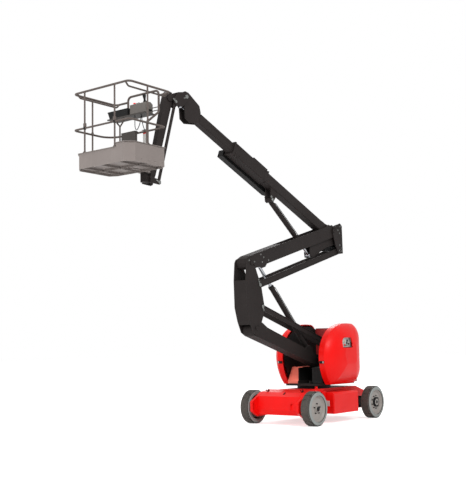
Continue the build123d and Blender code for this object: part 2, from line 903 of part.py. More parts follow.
head_outline = [
    moved(head_pin, p)
    for p in (
        (-6, 79),
        (-233, 168),
        (-305, 125),
        (-316, -418),
        (-164, -438),
        (-60, -275),
        (35, -24),
    )
]
head_inner_outline = [
    moved(head_pin, p)
    for p in (
        (-316, 110),
        (-240, 155),
        (-20, 85),
        (180, 125),
        (280, 110),
        (330, 60),
        (345, -20),
        (332, -85),
        (735, -302),
        (745, -470),
        (730, -548),
        (650, -552),
        (200, -340),
        (-140, -250),
        (-316, -180),
    )
]
with BuildPart() as head:
    plates_between(head_outline, plate_half, plate_half + plate_thickness)
    plates_between(head_inner_outline, inner_plate_half, inner_plate_half + inner_plate_thickness)
    head_back = [moved(head_pin, p) for p in ((-317, -300), (-317, 110), (-303, 124), (-303, -300))]
    block_across(head_back, plate_half + 2)
    disc_across(head_pin, arm_pin_radius, plate_half + plate_thickness + 8)
    disc_across(head_tie_pin, tie_pin_radius, plate_half + plate_thickness + 8)
    disc_across(boom_pivot, boom_pin_radius, base_half + 12)
    # flat bosses on both sides of the lift rod's eye
    discs_between(lift_foot, 40, lift_rod_half + gap, inner_plate_half + 1)
    discs_between(lift_foot, 30, inner_plate_half + inner_plate_thickness - 1, boom_ear_out)
finish(head, "arm_head")

# ---------------------------------------------------------------- cylinders


def cylinder_barrel(name, foot, eye, radius, rod_radius, span, eye_half, pin_radius):
    """Barrel from its foot pin toward the rod's eye, bored for the rod."""
    turn = angle_of(foot, eye)
    eye_radius = pin_radius + 18
    with BuildPart() as barrel:
        with BuildSketch(pin_plane(foot, turn)):
            Circle(eye_radius)
        extrude(amount=eye_half, both=True)
        start = Plane(
            origin=(foot[0], 0, foot[1]),
            x_dir=(0, 1, 0),
            z_dir=(cos(radians(turn)), 0, sin(radians(turn))),
        )
        with BuildSketch(start.offset(pin_radius + 8)):
            Circle(min(radius, eye_half) - 2)
        extrude(amount=eye_radius + 20 - pin_radius)
        with BuildSketch(start.offset(eye_radius + 24)):
            Circle(radius)
        extrude(amount=span - eye_radius - 24)
        with BuildSketch(start.offset(span - 46)):
            Circle(radius + 5)
        extrude(amount=40)
        with BuildSketch(start.offset(eye_radius + 50)):
            Circle(rod_radius + 0.5)
        extrude(amount=span, mode=Mode.SUBTRACT)
        with BuildSketch(pin_plane(foot, turn)):
            Circle(pin_radius + pin_gap)
        extrude(amount=eye_half + 1, both=True, mode=Mode.SUBTRACT)
    finish(barrel, name)


def cylinder_rod(name, foot, eye, radius, span, eye_half, pin_radius):
    """Rod from its eye back into the barrel."""
    turn = angle_of(eye, foot)
    with BuildPart() as rod:
        with BuildSketch(pin_plane(eye, turn)):
            Circle(pin_radius + 16)
        extrude(amount=eye_half, both=True)
        start = Plane(
            origin=(eye[0], 0, eye[1]),
            x_dir=(0, 1, 0),
            z_dir=(cos(radians(turn)), 0, sin(radians(turn))),
        )
        with BuildSketch(start.offset(pin_radius + 6)):
            Circle(radius)
        extrude(amount=span - pin_radius - 6)
        with BuildSketch(pin_plane(eye, turn)):
            Circle(pin_radius + pin_gap)
        extrude(amount=eye_half + 1, both=True, mode=Mode.SUBTRACT)
    finish(rod, name)


# jib cylinder's rod pin, in the jib beam
jib_turn = angle_of(jib_pin, jib_low_pin)
jib_length = length_of(jib_reach)
jib_eye = along_point(jib_pin, jib_turn, (jib_cylinder_along, 0))
# name, foot, eye, barrel radius, rod radius, barrel span, rod span, eye half widths, pin radii
cylinder_table = [
    ("riser", riser_foot, riser_eye, riser_barrel_radius, riser_rod_radius, 1560, 1600, 52, riser_rod_half, 26, 24),
    ("boom_lift", lift_eye, lift_foot, lift_barrel_radius, lift_rod_radius, 1110, 1120, 50, lift_rod_half, 22, 22),
    ("level", level_foot, level_eye, 24, 13, 420, 380, 30, level_rod_half, 12, 12),
    ("jib", jib_cylinder_foot, jib_eye, jib_cylinder_radius, 11, 360, 350, 16, jib_rod_half, 12, 12),
]
for name, foot, eye, radius, rod_radius, span, rod_span, half, rod_half, pin, rod_pin in cylinder_table:
    cylinder_barrel(f"{name}_cylinder", foot, eye, radius, rod_radius, span, half, pin)
    cylinder_rod(f"{name}_rod", foot, eye, rod_radius, rod_span, rod_half, rod_pin)

# ---------------------------------------------------------------- main boom


def boom_section(distance):
    """Plane across the boom: local x is the machine's width, local y is up the section."""
    place = along_point(boom_pivot, boom_angle, (distance, 0))
    return Plane(
        origin=(place[0], 0, place[1]),
        x_dir=(0, 1, 0),
        z_dir=(cos(radians(boom_angle)), 0, sin(radians(boom_angle))),
    )


def boom_point(along, up):
    return along_point(boom_pivot, boom_angle, (along, up))


def boom_tube(start, end, half_width, depth, wall):
    with BuildSketch(boom_section(start)) as section:
        RectangleRounded(2 * half_width, depth, 14)
        RectangleRounded(2 * (half_width - wall), depth - 2 * wall, 8, mode=Mode.SUBTRACT)
    extrude(section.sketch, amount=end - start)


with BuildPart() as boom_base:
    boom_tube(120, sleeve_start + 10, base_half, base_depth, boom_wall)
    for side in (1, -1):
        with BuildSketch(pin_plane(boom_pivot, boom_angle, side * (base_half - boom_wall))):
            Circle(base_depth / 2)
            with Locations((80, 0)):
                Rectangle(160, base_depth - 4)
            Circle(boom_pin_radius + pin_gap, mode=Mode.SUBTRACT)
        extrude(amount=-side * boom_wall)
    # front sleeve, its rear flange and its front collar
    boom_tube(sleeve_start, sleeve_end, sleeve_half, sleeve_depth, boom_wall)
    with BuildSketch(boom_section(sleeve_start)):
        Rectangle(2 * sleeve_half + 2, sleeve_depth + 16)
        Rectangle(2 * (base_half - boom_wall), base_depth - 2 * boom_wall, mode=Mode.SUBTRACT)
    extrude(amount=16)
    with BuildSketch(boom_section(sleeve_end - 24)):
        Rectangle(2 * sleeve_half + 2, sleeve_depth + 12)
        Rectangle(2 * (inner_half + run_gap), inner_depth + 2 * run_gap, mode=Mode.SUBTRACT)
    extrude(amount=24)
    # wear pads in the collar
    with BuildSketch(boom_section(sleeve_end - 24)):
        for side in (1, -1):
            with Locations((side * (inner_half + gap + pad_depth / 2), 0)):
                Rectangle(pad_depth, 80)
            with Locations((0, side * (inner_depth / 2 + gap + pad_depth / 2))):
                Rectangle(70, pad_depth)
    extrude(amount=24)
    # raised cover on top of the sleeve
    with BuildSketch(boom_section(sleeve_start + 40)):
        with Locations((0, sleeve_depth / 2 + 14)):
            Rectangle(2 * sleeve_half - 30, 30)
    extrude(amount=420)
    # ears and pin for the lift cylinder
    plates_between(
        [
            boom_point(lift_eye_place[0] - 110, -base_depth / 2 + 6),
            boom_point(lift_eye_place[0] - 46, lift_eye_place[1] - 20),
            boom_point(lift_eye_place[0] - 24, lift_eye_place[1] - 42),
            boom_point(lift_eye_place[0] + 24, lift_eye_place[1] - 42),
            boom_point(lift_eye_place[0] + 46, lift_eye_place[1] - 20),
            boom_point(lift_eye_place[0] + 110, -base_depth / 2 + 6),
        ],
        lift_ear_half,
        lift_ear_half + 14,
    )
    disc_across(lift_eye, 22, lift_ear_half + 20)
finish(boom_base, "boom_base")

with BuildPart() as hose_tray:
    # energy chain trough along the right side of the boom
    for mode, inset in ((Mode.ADD, 0.0), (Mode.SUBTRACT, 6.0)):
        with BuildSketch(pin_plane(boom_pivot, boom_angle, -(sleeve_half + 6 + inset))):
            with BuildLine():
                Polyline(
                    (tray_start + 220 + inset, -tray_low + inset),
                    (tray_end - inset, -tray_low + inset),
                    (tray_end - inset, -tray_low + tray_depth - inset),
                    (tray_start + inset, -tray_low + tray_depth - inset),
                    (tray_start + inset, -tray_low + tray_depth - 50),
                    close=True,
                )
            make_face()
        extrude(amount=tray_width - 2 * inset, mode=mode)
    for along, inner in ((1700, base_half), (1920, base_half), (2200, sleeve_half), (2900, sleeve_half)):
        with BuildSketch(pin_plane(boom_pivot, boom_angle, -(inner + gap))):
            with Locations((along, -70)):
                Rectangle(60, 40)
        extrude(amount=sleeve_half + 8 - inner - gap)
finish(hose_tray, "hose_tray")

nose_outline = [
    moved(level_pin, p)
    for p in (
        (-360, -371),
        (-374, -186),
        (-344, -80),
        (-75, 86),
        (0, 96),
        (50, 75),
        (68, 22),
        (32, -100),
        (10, -345),
        (-90, -403),
    )
]
nose_web = [
    moved(level_pin, p)
    for p in (
        (-360, -108),
        (-100, 56),
        (-100, 72),
        (-360, -90),
    )
]
with BuildPart() as telescope:
    boom_tube(inner_start, inner_end, inner_half, inner_depth, boom_wall)
    # wear pads at the tail, which run inside the base
    with BuildSketch(boom_section(inner_start)):
        for side in (1, -1):
            with Locations((side * (inner_half - 2 + base_half - boom_wall - gap) / 2, 0)):
                Rectangle(base_half - boom_wall - gap - inner_half + 2, 90)
            with Locations((0, side * (inner_depth / 2 - 2 + base_depth / 2 - boom_wall - gap) / 2)):
                Rectangle(80, base_depth / 2 - boom_wall - gap - inner_depth / 2 + 2)
    extrude(amount=70)
    # long groove in each side
    for side in (1, -1):
        with BuildSketch(pin_plane(boom_pivot, boom_angle, side * (inner_half - 3))):
            with Locations(((sleeve_end + inner_end) / 2 - 120, 10)):
                Rectangle(640, 44)
        extrude(amount=-side * 10, mode=Mode.SUBTRACT)
    plates_between(nose_outline, nose_half, nose_half + nose_plate)
    block_across(nose_web, nose_half + 2)
    disc_across(level_foot, 12, inner_half - 2)
    disc_across(level_pin, 26, 70, mode=Mode.SUBTRACT)
finish(telescope, "telescope")

# ---------------------------------------------------------------- level bracket

bracket_side = [
    moved(level_pin, p)
    for p in (
        (-64, 2),
        (-40, 60),
        (40, 66),
        (200, 35),
        (305, -90),
        (305, -155),
        (250, -185),
        (100, -180),
        (-40, -50),
    )
]
bracket_arm = [
    moved(level_pin, p)
    for p in (
        (115, -28),
        (115, 35),
        (200, 35),
        (390, -40),
        (425, -90),
        (400, -132),
        (350, -138),
    )
]
bracket_web = [
    moved(level_pin, p)
    for p in (
        (115, -28),
        (115, 35),
        (200, 35),
        (200, -60),
    )
]
foot_ear = [
    moved(level_pin, p)
    for p in (
        (130, -10),
        (200, 10),
        (260, -100),
        (385, -200),
        (375, -232),
        (335, -232),
        (200, -90),
    )
]
level_ear = [
    moved(level_pin, p)
    for p in (
        (115, -26),
        (190, 10),
        (190, -40),
        (55, -175),
        (15, -172),
        (12, -132),
    )
]
with BuildPart() as level_bracket:
    plates_between(bracket_side, bracket_outer, bracket_outer + bracket_plate)
    plates_between(bracket_arm, bracket_inner, bracket_inner + 12)
    block_across(bracket_web, bracket_outer + 2)
    plates_between(foot_ear, 18, 30)
    plates_between(level_ear, 30, 42)
    disc_across(level_pin, 25.5, bracket_outer + bracket_plate)
    disc_across(jib_cylinder_foot, 12, 30)
    discs_between(jib_pin, 24, jib_half - jib_plate, bracket_inner + 12)
    discs_between(link_pin, 18, link_half, bracket_outer + bracket_plate)
finish(level_bracket, "level_bracket")

# ---------------------------------------------------------------- jib

jib_side = [
    (-118, -40),
    (-112, 34),
    (-60, 76),
    (120, 75),
    (jib_length + 20, 42),
    (jib_length + 42, 20),
    (jib_length + 42, -20),
    (jib_length + 20, -42),
    (jib_length - 90, -60),
    (160, -86),
    (-60, -80),
]
with BuildPart() as jib_beam:
    for side in (1, -1):
        with BuildSketch(pin_plane(jib_pin, jib_turn, side * (jib_half - jib_plate))):
            with BuildLine():
                Polyline(*jib_side, close=True)
            make_face()
            with Locations((0, 0), (jib_length, 0)):
                Circle(24 + pin_gap, mode=Mode.SUBTRACT)
        extrude(amount=-side * jib_plate)
    # front plate and the closing plate low on the rear
    with BuildSketch(pin_plane(jib_pin, jib_turn)):
        with BuildLine():
            Polyline(
                (-60, 76),
                (120, 75),
                (jib_length - 60, 44),
                (jib_length - 60, 34),
                (120, 63),
                (-60, 64),
                close=True,
            )
        make_face()
    extrude(amount=jib_half - jib_plate + 1, both=True)
    with BuildSketch(pin_plane(jib_pin, jib_turn)):
        with BuildLine():
            Polyline((720, -70), (jib_length - 90, -60), (jib_length - 90, -52), (720, -62), close=True)
        make_face()
    extrude(amount=jib_half - jib_plate + 1, both=True)
finish(jib_beam, "jib_beam")

with BuildPart() as jib_link:
    bar_pair(link_pin, link_low_pin, link_depth, link_half, link_half + link_thickness, 30, 18 + pin_gap)
finish(jib_link, "jib_link")

rotator_low = jib_low_pin[1] - 60
rotator_high = floor_low - 25
mount_arm = [
    moved(jib_low_pin, p)
    for p in (
        (-40, -35),
        (-40, 25),
        (0, 48),
        (75, 48),
        (75, -60),
        (0, -45),
    )
]
mount_side = [
    moved(jib_low_pin, p)
    for p in (
        (-150, -60),
        (-150, -20),
        (-115, 2),
        (75, 25),
        (75, -68),
        (-115, -78),
    )
]
with BuildPart() as platform_mount:
    plates_between(mount_arm, bracket_inner, bracket_inner + 12)
    plates_between(mount_side, bracket_outer, bracket_outer + bracket_plate)
    mount_back = [moved(jib_low_pin, p) for p in ((57, -68), (57, 48), (75, 48), (75, -68))]
    block_across(mount_back, bracket_outer + bracket_plate)
    with BuildSketch(Plane.XY.offset(rotator_low)):
        with Locations((rotator_x, 0)):
            Circle(rotator_radius)
    extrude(amount=rotator_high - rotator_low)
    with BuildSketch(Plane.XY.offset(rotator_low)):
        with Locations((rotator_x - 28, 0)):
            Rectangle(56, 2 * rotator_radius)
    extrude(amount=100)
    discs_between(jib_low_pin, 24, jib_half - jib_plate, bracket_inner + 12)
    discs_between(link_low_pin, 18, link_half, bracket_outer + bracket_plate)
finish(platform_mount, "platform_mount")

# ---------------------------------------------------------------- platform


def tray_outline(step):
    """Plan of the tray with cut corners, stepped outwards."""
    back = tray_back - step
    front = tray_front + step
    half = tray_side + step
    cut = tray_corner
    return [
        (back, -half + cut),
        (back + cut * 0.6, -half),
        (front - cut, -half),
        (front, -half + cut),
        (front, half - cut),
        (front - cut, half),
        (back + cut * 0.6, half),
        (back, half - cut),
    ]


def tray_block(step, low, high, mode=Mode.ADD):
    with BuildSketch(Plane.XY.offset(low)) as plan:
        with BuildLine():
            Polyline(*tray_outline(step), close=True)
        make_face()
    extrude(plan.sketch, amount=high - low, mode=mode)


with BuildPart() as platform_tray:
    tray_block(0, floor_low, floor_low + toe_high)
    tray_block(-toe_wall, floor_low + floor_thickness_tray, floor_low + toe_high + 1, mode=Mode.SUBTRACT)
    # sunk strip for the feet of the guard and the forked post
    with BuildSketch(Plane.XY.offset(floor_low + floor_thickness_tray - foot_recess)) as strip:
        with BuildLine():
            Polyline(*tray_outline(-toe_wall), close=True)
        make_face()
        with Locations((tray_back + (mid_inset + rail_radius + 8) / 2, 0)):
            Rectangle(mid_inset + rail_radius + 8, 2 * tray_side, mode=Mode.INTERSECT)
    extrude(strip.sketch, amount=foot_recess + 1, mode=Mode.SUBTRACT)
    # the wall is higher on the left
    with BuildSketch(Plane.XY.offset(floor_low + toe_low)):
        with Locations(((tray_back + tray_front) / 2, toe_split - 500)):
            Rectangle(tray_length + 100, 1000)
    extrude(amount=toe_high, mode=Mode.SUBTRACT)
    # rims
    for low, y_low, y_high in (
        (floor_low + toe_low, -tray_side - 30, toe_split),
        (floor_low + toe_high, toe_split, tray_side + 30),
    ):
        with BuildSketch(Plane.XY.offset(low - 8)):
            with BuildLine():
                Polyline(*tray_outline(12), close=True)
            make_face()
            with BuildLine():
                Polyline(*tray_outline(-22), close=True)
            make_face(mode=Mode.SUBTRACT)
            with Locations(((tray_back + tray_front) / 2, (y_low + y_high) / 2)):
                Rectangle(tray_length + 200, y_high - y_low, mode=Mode.INTERSECT)
        extrude(amount=8)
    # skirt and ribs under the floor
    tray_block(0, floor_low - rib_depth, floor_low)
    tray_block(-toe_wall, floor_low - rib_depth - 1, floor_low, mode=Mode.SUBTRACT)
    with BuildSketch(Plane.XY.offset(floor_low - rib_depth)):
        with Locations(((tray_back + tray_front) / 2, 0)):
            Rectangle(8, 2 * tray_side - 10)
        with GridLocations(0, 360, 1, 3):
            with Locations(((tray_back + tray_front) / 2, 0)):
                Rectangle(tray_length - 10, 8)
    extrude(amount=rib_depth)
    # turntable flange and cradle under the floor
    with BuildSketch(Plane.XY.offset(rotator_high + gap)):
        with Locations((rotator_x, 0)):
            Circle(95)
    extrude(amount=14)
    with BuildSketch(Plane.XY.offset(rotator_high + 13)):
        with Locations(((rotator_x + tray_back + 160) / 2, 0)):
            Rectangle(tray_back + 160 - rotator_x + 120, 150)
    extrude(amount=floor_low - rotator_high - 13)
finish(platform_tray, "platform_tray")


def rail(points, radius, bend, close=False):
    """A bent round tube through the given corners."""
    with BuildLine() as path:
        FilletPolyline(*points, radius=bend, close=close)
    with BuildSketch(Plane(origin=path.line @ 0, z_dir=path.line % 0)) as ring:
        Circle(radius)
    sweep(ring.sketch, path=path.line)


def rail_post(x, y, low):
    with BuildSketch(Plane.XY.offset(low)) as foot:
        with Locations((x, y)):
            Circle(post_radius)
    extrude(foot.sketch, amount=rail_top - low)


foot_low = floor_low + toe_low + gap
foot_high = floor_low + toe_high + gap
floor_face = floor_low + floor_thickness_tray - foot_recess + gap
mid_back = tray_back + mid_inset
shelf_top = rail_top - shelf_drop + shelf_thickness
# x, y, foot height
post_table = [
    (tray_back + side_post_step, tray_side, foot_high),
    (tray_back + side_post_step, -tray_side, foot_low),
    (tray_front, entry_left, foot_low),
    (tray_front, entry_right, foot_low),
]
with BuildPart() as platform_rails:
    # top rail, open at the back between the legs of the guard
    rail(
        [
            (rail_back, guard_right, rail_top),
            (rail_back, -rail_side, rail_top),
            (rail_front, -rail_side, rail_top),
            (rail_front, rail_side, rail_top),
            (rail_back, rail_side, rail_top),
            (rail_back, guard_left, rail_top),
        ],
        rail_radius,
        70,
    )
    # mid rail, open at the entrance
    rail(
        [
            (tray_front, entry_right, rail_mid),
            (tray_front, -rail_side, rail_mid),
            (mid_back, -rail_side, rail_mid),
            (mid_back, rail_side, rail_mid),
            (tray_front, rail_side, rail_mid),
            (tray_front, entry_left, rail_mid),
        ],
        rail_radius - 1,
        [60, 230, 60, 60],
    )
    # guard over the control box, with one leg down to the floor
    guard_top = rail_top + guard_rise
    rail(
        [
            (rail_back, guard_right, shelf_top + gap),
            (rail_back, guard_right, guard_top),
            (rail_back, guard_left, guard_top),
            (rail_back, guard_left, rail_top - 254),
            (mid_back, guard_foot, rail_top - 407),
            (mid_back, guard_foot, floor_face),
        ],
        rail_radius + 1,
        [65, 65, 60, 60],
    )
    # hand holds inside the side rails
    for side in (1, -1):
        y = side * (rail_side - hand_hold_inset)
        low = rail_top - hand_hold_drop
        rail(
            [
                (rail_front, y, rail_top),
                (rail_front - hand_hold_drop, y, low),
                (rail_back + hand_hold_drop, y, low),
                (rail_back, y, rail_top),
            ],
            post_radius,
            50,
        )
    # forked post under the shelf
    rail(
        [
            (mid_back, fork_post, floor_face),
            (mid_back, fork_post, rail_top - 385),
            (mid_back + 12, fork_post - 50, rail_top - 330),
            (mid_back + 12, fork_post - 50, rail_top - shelf_drop - gap),
        ],
        post_radius - 1,
        24,
    )
    rail(
        [
            (mid_back, fork_post, rail_top - 440),
            (mid_back, fork_post, rail_top - 395),
            (mid_back + 12, fork_post + 90, rail_top - 320),
            (mid_back + 12, fork_post + 90, rail_top - shelf_drop - gap),
        ],
        post_radius - 2,
        20,
    )
    # short rods from the guard to the control box
    for drop in (182, 230):
        with BuildSketch(Plane.XZ.offset(-guard_left)):
            with Locations((rail_back + 22, rail_top - drop)):
                Circle(7)
        extrude(amount=guard_left - box_left - gap)
    for x, y, low in post_table:
        rail_post(x, y, low)
finish(platform_rails, "platform_rails")

with BuildPart() as entry_bar:
    # sliding bar between the entrance posts
    with BuildSketch(Plane.XZ.offset(-entry_right - 16)):
        with Locations((tray_front, rail_mid)):
            Circle(rail_radius - 2)
    extrude(amount=-(entry_left - entry_right - 32))
    for y in (entry_right, entry_left):
        with BuildSketch(Plane.XY.offset(rail_mid + 20)):
            with Locations((tray_front, y)):
                Circle(post_radius + 9)
                Circle(post_radius + 0.4, mode=Mode.SUBTRACT)
        extrude(amount=50)
    for y in (entry_right + 22, entry_left - 22):
        with BuildSketch(Plane.XY.offset(rail_mid - 8)):
            with Locations((tray_front, y)):
                Rectangle(16, 14)
        extrude(amount=78)
finish(entry_bar, "entry_bar")

with BuildPart() as control_shelf:
    # long shelf behind the operator, with a lip along its front
    shelf_front = tray_back + box_front_step + 36
    shelf_back = rail_back - rail_radius - 4
    shelf_mid = (shelf_front + shelf_back) / 2
    with BuildSketch(Plane.XY.offset(rail_top - shelf_drop)):
        with Locations((shelf_mid, (box_left + 12 - 547) / 2)):
            Rectangle(shelf_front - shelf_back, box_left + 12 + 547)
    extrude(amount=shelf_thickness)
    with BuildSketch(Plane.XY.offset(rail_top - shelf_drop - 8)):
        with Locations((shelf_front - 5, (box_left + 12 - 547) / 2)):
            Rectangle(10, box_left + 12 + 547)
    extrude(amount=shelf_thickness + 8)
finish(control_shelf, "control_shelf")

with BuildPart() as control_box:
    # sloped console on the shelf
    box_low = shelf_top + gap
    box_back = rail_back + 20
    box_front = tray_back + box_front_step
    with BuildSketch(side_plane(box_right)):
        with BuildLine():
            Polyline(
                (box_back, box_low),
                (box_front, box_low),
                (box_front, box_low + box_height - 10),
                (box_front - 10, box_low + box_height),
                (box_back + 50, box_low + box_height + 12),
                (box_back, box_low + box_height - 20),
                close=True,
            )
        make_face()
    extrude(amount=-(box_left - box_right))
    rims = control_box.edges().filter_by(Axis.Z).group_by(Axis.X)[-1]
    fillet(rims, radius=8)
finish(control_box, "control_box")

with BuildPart() as tool_tray:
    # open bin that narrows downwards
    bin_centre = (tray_back + 50, (box_right - 547) / 2)
    bin_length = box_right + 547 - 10
    for mode, inset, low in ((Mode.ADD, 0.0, 0.0), (Mode.SUBTRACT, 6.0, 6.0)):
        with BuildSketch(Plane.XY.offset(box_low + low)) as bin_floor:
            with Locations(bin_centre):
                RectangleRounded(140 - 2 * inset, bin_length - 50 - 2 * inset, 12)
        with BuildSketch(Plane.XY.offset(box_low + bin_height)) as bin_mouth:
            with Locations(bin_centre):
                RectangleRounded(178 - 2 * inset, bin_length - 2 * inset, 12)
        loft([bin_floor.sketch, bin_mouth.sketch], mode=mode)
    with BuildSketch(Plane.XY.offset(box_low + bin_height - 4)):
        with Locations(bin_centre):
            RectangleRounded(188, bin_length + 6, 16)
            RectangleRounded(166, bin_length - 12, 8, mode=Mode.SUBTRACT)
    extrude(amount=4)
finish(tool_tray, "tool_tray")

with BuildPart() as document_box:
    # closed box hooked over the mid rail
    document_back = mid_back + rail_radius - 1 + gap
    document_y = -125.0
    with BuildSketch(Plane.XY.offset(rail_mid - 210)):
        with Locations((document_back + 30, document_y)):
            RectangleRounded(60, 290, 10)
    extrude(amount=222)
    with BuildSketch(Plane.XY.offset(rail_mid + 12)):
        with Locations((document_back + 28, document_y)):
            RectangleRounded(66, 300, 10)
    extrude(amount=12)
    with BuildSketch(Plane.XY.offset(rail_mid + rail_radius - 1 + gap)):
        with Locations((mid_back + 10, document_y)):
            Rectangle(50, 220)
    extrude(amount=24 - rail_radius + 1 - gap)
finish(document_box, "document_box")
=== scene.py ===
import json
import math

import bmesh
import bpy
from mathutils import Matrix, Vector


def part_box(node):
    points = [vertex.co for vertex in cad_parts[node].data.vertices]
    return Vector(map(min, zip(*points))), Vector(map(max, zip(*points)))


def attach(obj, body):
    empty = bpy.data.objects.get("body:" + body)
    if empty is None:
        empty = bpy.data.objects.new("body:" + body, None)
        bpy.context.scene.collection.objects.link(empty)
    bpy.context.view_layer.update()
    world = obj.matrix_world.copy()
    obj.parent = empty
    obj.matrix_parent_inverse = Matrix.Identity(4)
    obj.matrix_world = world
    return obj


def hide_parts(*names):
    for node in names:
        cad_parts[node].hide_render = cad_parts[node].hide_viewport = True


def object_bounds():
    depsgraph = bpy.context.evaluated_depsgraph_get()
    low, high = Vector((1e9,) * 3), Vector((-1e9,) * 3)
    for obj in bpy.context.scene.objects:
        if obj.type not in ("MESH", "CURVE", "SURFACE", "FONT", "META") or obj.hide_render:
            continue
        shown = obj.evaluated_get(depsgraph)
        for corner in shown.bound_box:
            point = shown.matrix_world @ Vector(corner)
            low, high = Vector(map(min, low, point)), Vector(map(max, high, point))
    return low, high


bl_info = {
    "name": "Articulating boom lift",
    "version": (1, 0, 0),
    "blender": (4, 5, 0),
    "location": "3D View > Sidebar > Boom lift",
    "description": "Finishes, small fittings, hoses and stage for an articulating boom lift",
    "category": "Object",
}

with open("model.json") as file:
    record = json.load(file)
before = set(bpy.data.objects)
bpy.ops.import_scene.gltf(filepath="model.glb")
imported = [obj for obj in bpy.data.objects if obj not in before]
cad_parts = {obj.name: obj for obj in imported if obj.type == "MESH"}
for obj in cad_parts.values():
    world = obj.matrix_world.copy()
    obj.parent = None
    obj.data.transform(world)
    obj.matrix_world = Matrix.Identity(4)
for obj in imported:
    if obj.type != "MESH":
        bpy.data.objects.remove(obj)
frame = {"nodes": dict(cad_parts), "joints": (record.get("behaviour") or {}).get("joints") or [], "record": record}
nodes = frame["nodes"]
cad_low, cad_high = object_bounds()


# ---------------------------------------------------------------- settings


class LiftColours(bpy.types.PropertyGroup):
    cover_red: bpy.props.FloatVectorProperty(
        name="Cover red",
        description="Enamel on the chassis, hoods and boxes",
        subtype="COLOR",
        default=(0.84, 0.004, 0.003),
        min=0.0,
        max=1.0,
    )
    cast_red: bpy.props.FloatVectorProperty(
        name="Counterweight red",
        description="Darker enamel on the cast counterweight",
        subtype="COLOR",
        default=(0.33, 0.012, 0.012),
        min=0.0,
        max=1.0,
    )
    salmon: bpy.props.FloatVectorProperty(
        name="Inner cover",
        description="Sun-bleached cover between the hoods",
        subtype="COLOR",
        default=(1.0, 0.190, 0.125),
        min=0.0,
        max=1.0,
    )
    charcoal: bpy.props.FloatVectorProperty(
        name="Boom charcoal",
        description="Enamel on the arms, booms and brackets",
        subtype="COLOR",
        default=(0.0190, 0.0150, 0.0142),
        min=0.0,
        max=1.0,
    )
    platform_grey: bpy.props.FloatVectorProperty(
        name="Platform grey",
        description="Enamel on the platform tray",
        subtype="COLOR",
        default=(0.200, 0.172, 0.160),
        min=0.0,
        max=1.0,
    )
    rail_brown: bpy.props.FloatVectorProperty(
        name="Rail brown",
        description="Enamel on the platform's rails and shelf",
        subtype="COLOR",
        default=(0.088, 0.069, 0.061),
        min=0.0,
        max=1.0,
    )
    wheel_grey: bpy.props.FloatVectorProperty(
        name="Wheel grey",
        description="Enamel on the wheel discs",
        subtype="COLOR",
        default=(0.31, 0.285, 0.262),
        min=0.0,
        max=1.0,
    )
    tyre_grey: bpy.props.FloatVectorProperty(
        name="Tyre grey",
        description="Non-marking rubber of the sidewalls",
        subtype="COLOR",
        default=(0.29, 0.310, 0.300),
        min=0.0,
        max=1.0,
    )
    tread_grey: bpy.props.FloatVectorProperty(
        name="Tread grey",
        description="Soiled rubber of the tread",
        subtype="COLOR",
        default=(0.062, 0.053, 0.046),
        min=0.0,
        max=1.0,
    )


class LiftSizes(bpy.types.PropertyGroup):
    nut_radius: bpy.props.FloatProperty(
        name="Wheel nut radius",
        description="Half the width across a wheel nut's corners",
        default=0.011,
        min=0.004,
        max=0.03,
        unit="LENGTH",
    )
    chain_pitch: bpy.props.FloatProperty(
        name="Chain pitch",
        description="Length of one link of the energy chain",
        default=0.055,
        min=0.02,
        max=0.12,
        unit="LENGTH",
    )


def colours():
    return bpy.context.scene.lift_colours


def sizes():
    return bpy.context.scene.lift_sizes


# ---------------------------------------------------------------- node groups


def new_group(name, inputs, outputs):
    """Shader node group with the given sockets and its two end nodes."""
    group = bpy.data.node_groups.new(name, "ShaderNodeTree")
    for label, kind, value in inputs:
        socket = group.interface.new_socket(name=label, in_out="INPUT", socket_type=kind)
        if value is not None:
            socket.default_value = value
    for label, kind in outputs:
        group.interface.new_socket(name=label, in_out="OUTPUT", socket_type=kind)
    source = group.nodes.new("NodeGroupInput")
    sink = group.nodes.new("NodeGroupOutput")
    return group, source, sink


def mix_colour(tree, blend, factor, a, b):
    """Colour mix node; factor, a and b may be sockets or values."""
    node = tree.nodes.new("ShaderNodeMix")
    node.data_type = "RGBA"
    node.blend_type = blend
    for socket, value in ((node.inputs[0], factor), (node.inputs[6], a), (node.inputs[7], b)):
        if isinstance(value, bpy.types.NodeSocket):
            tree.links.new(value, socket)
        else:
            socket.default_value = value
    return node.outputs[2]


def maths(tree, operation, a, b=0.0, clamp=False):
    node = tree.nodes.new("ShaderNodeMath")
    node.operation = operation
    node.use_clamp = clamp
    for socket, value in ((node.inputs[0], a), (node.inputs[1], b)):
        if isinstance(value, bpy.types.NodeSocket):
            tree.links.new(value, socket)
        else:
            socket.default_value = value
    return node.outputs[0]


def noise(tree, scale, detail=4.0, stretch=None):
    """Noise on Object coordinates, stretched by a Mapping node where asked."""
    place = tree.nodes.new("ShaderNodeTexCoord").outputs["Object"]
    if stretch:
        mapping = tree.nodes.new("ShaderNodeMapping")
        mapping.inputs["Scale"].default_value = stretch
        tree.links.new(place, mapping.inputs["Vector"])
        place = mapping.outputs["Vector"]
    node = tree.nodes.new("ShaderNodeTexNoise")
    node.inputs["Detail"].default_value = detail
    if isinstance(scale, bpy.types.NodeSocket):
        tree.links.new(scale, node.inputs["Scale"])
    else:
        node.inputs["Scale"].default_value = scale
    tree.links.new(place, node.inputs["Vector"])
    return node.outputs["Fac"]


def span(tree, value, low, high, out_low=0.0, out_high=1.0):
    node = tree.nodes.new("ShaderNodeMapRange")
    tree.links.new(value, node.inputs["Value"])
    for label, number in (("From Min", low), ("From Max", high), ("To Min", out_low), ("To Max", out_high)):
        node.inputs[label].default_value = number
    return node.outputs["Result"]


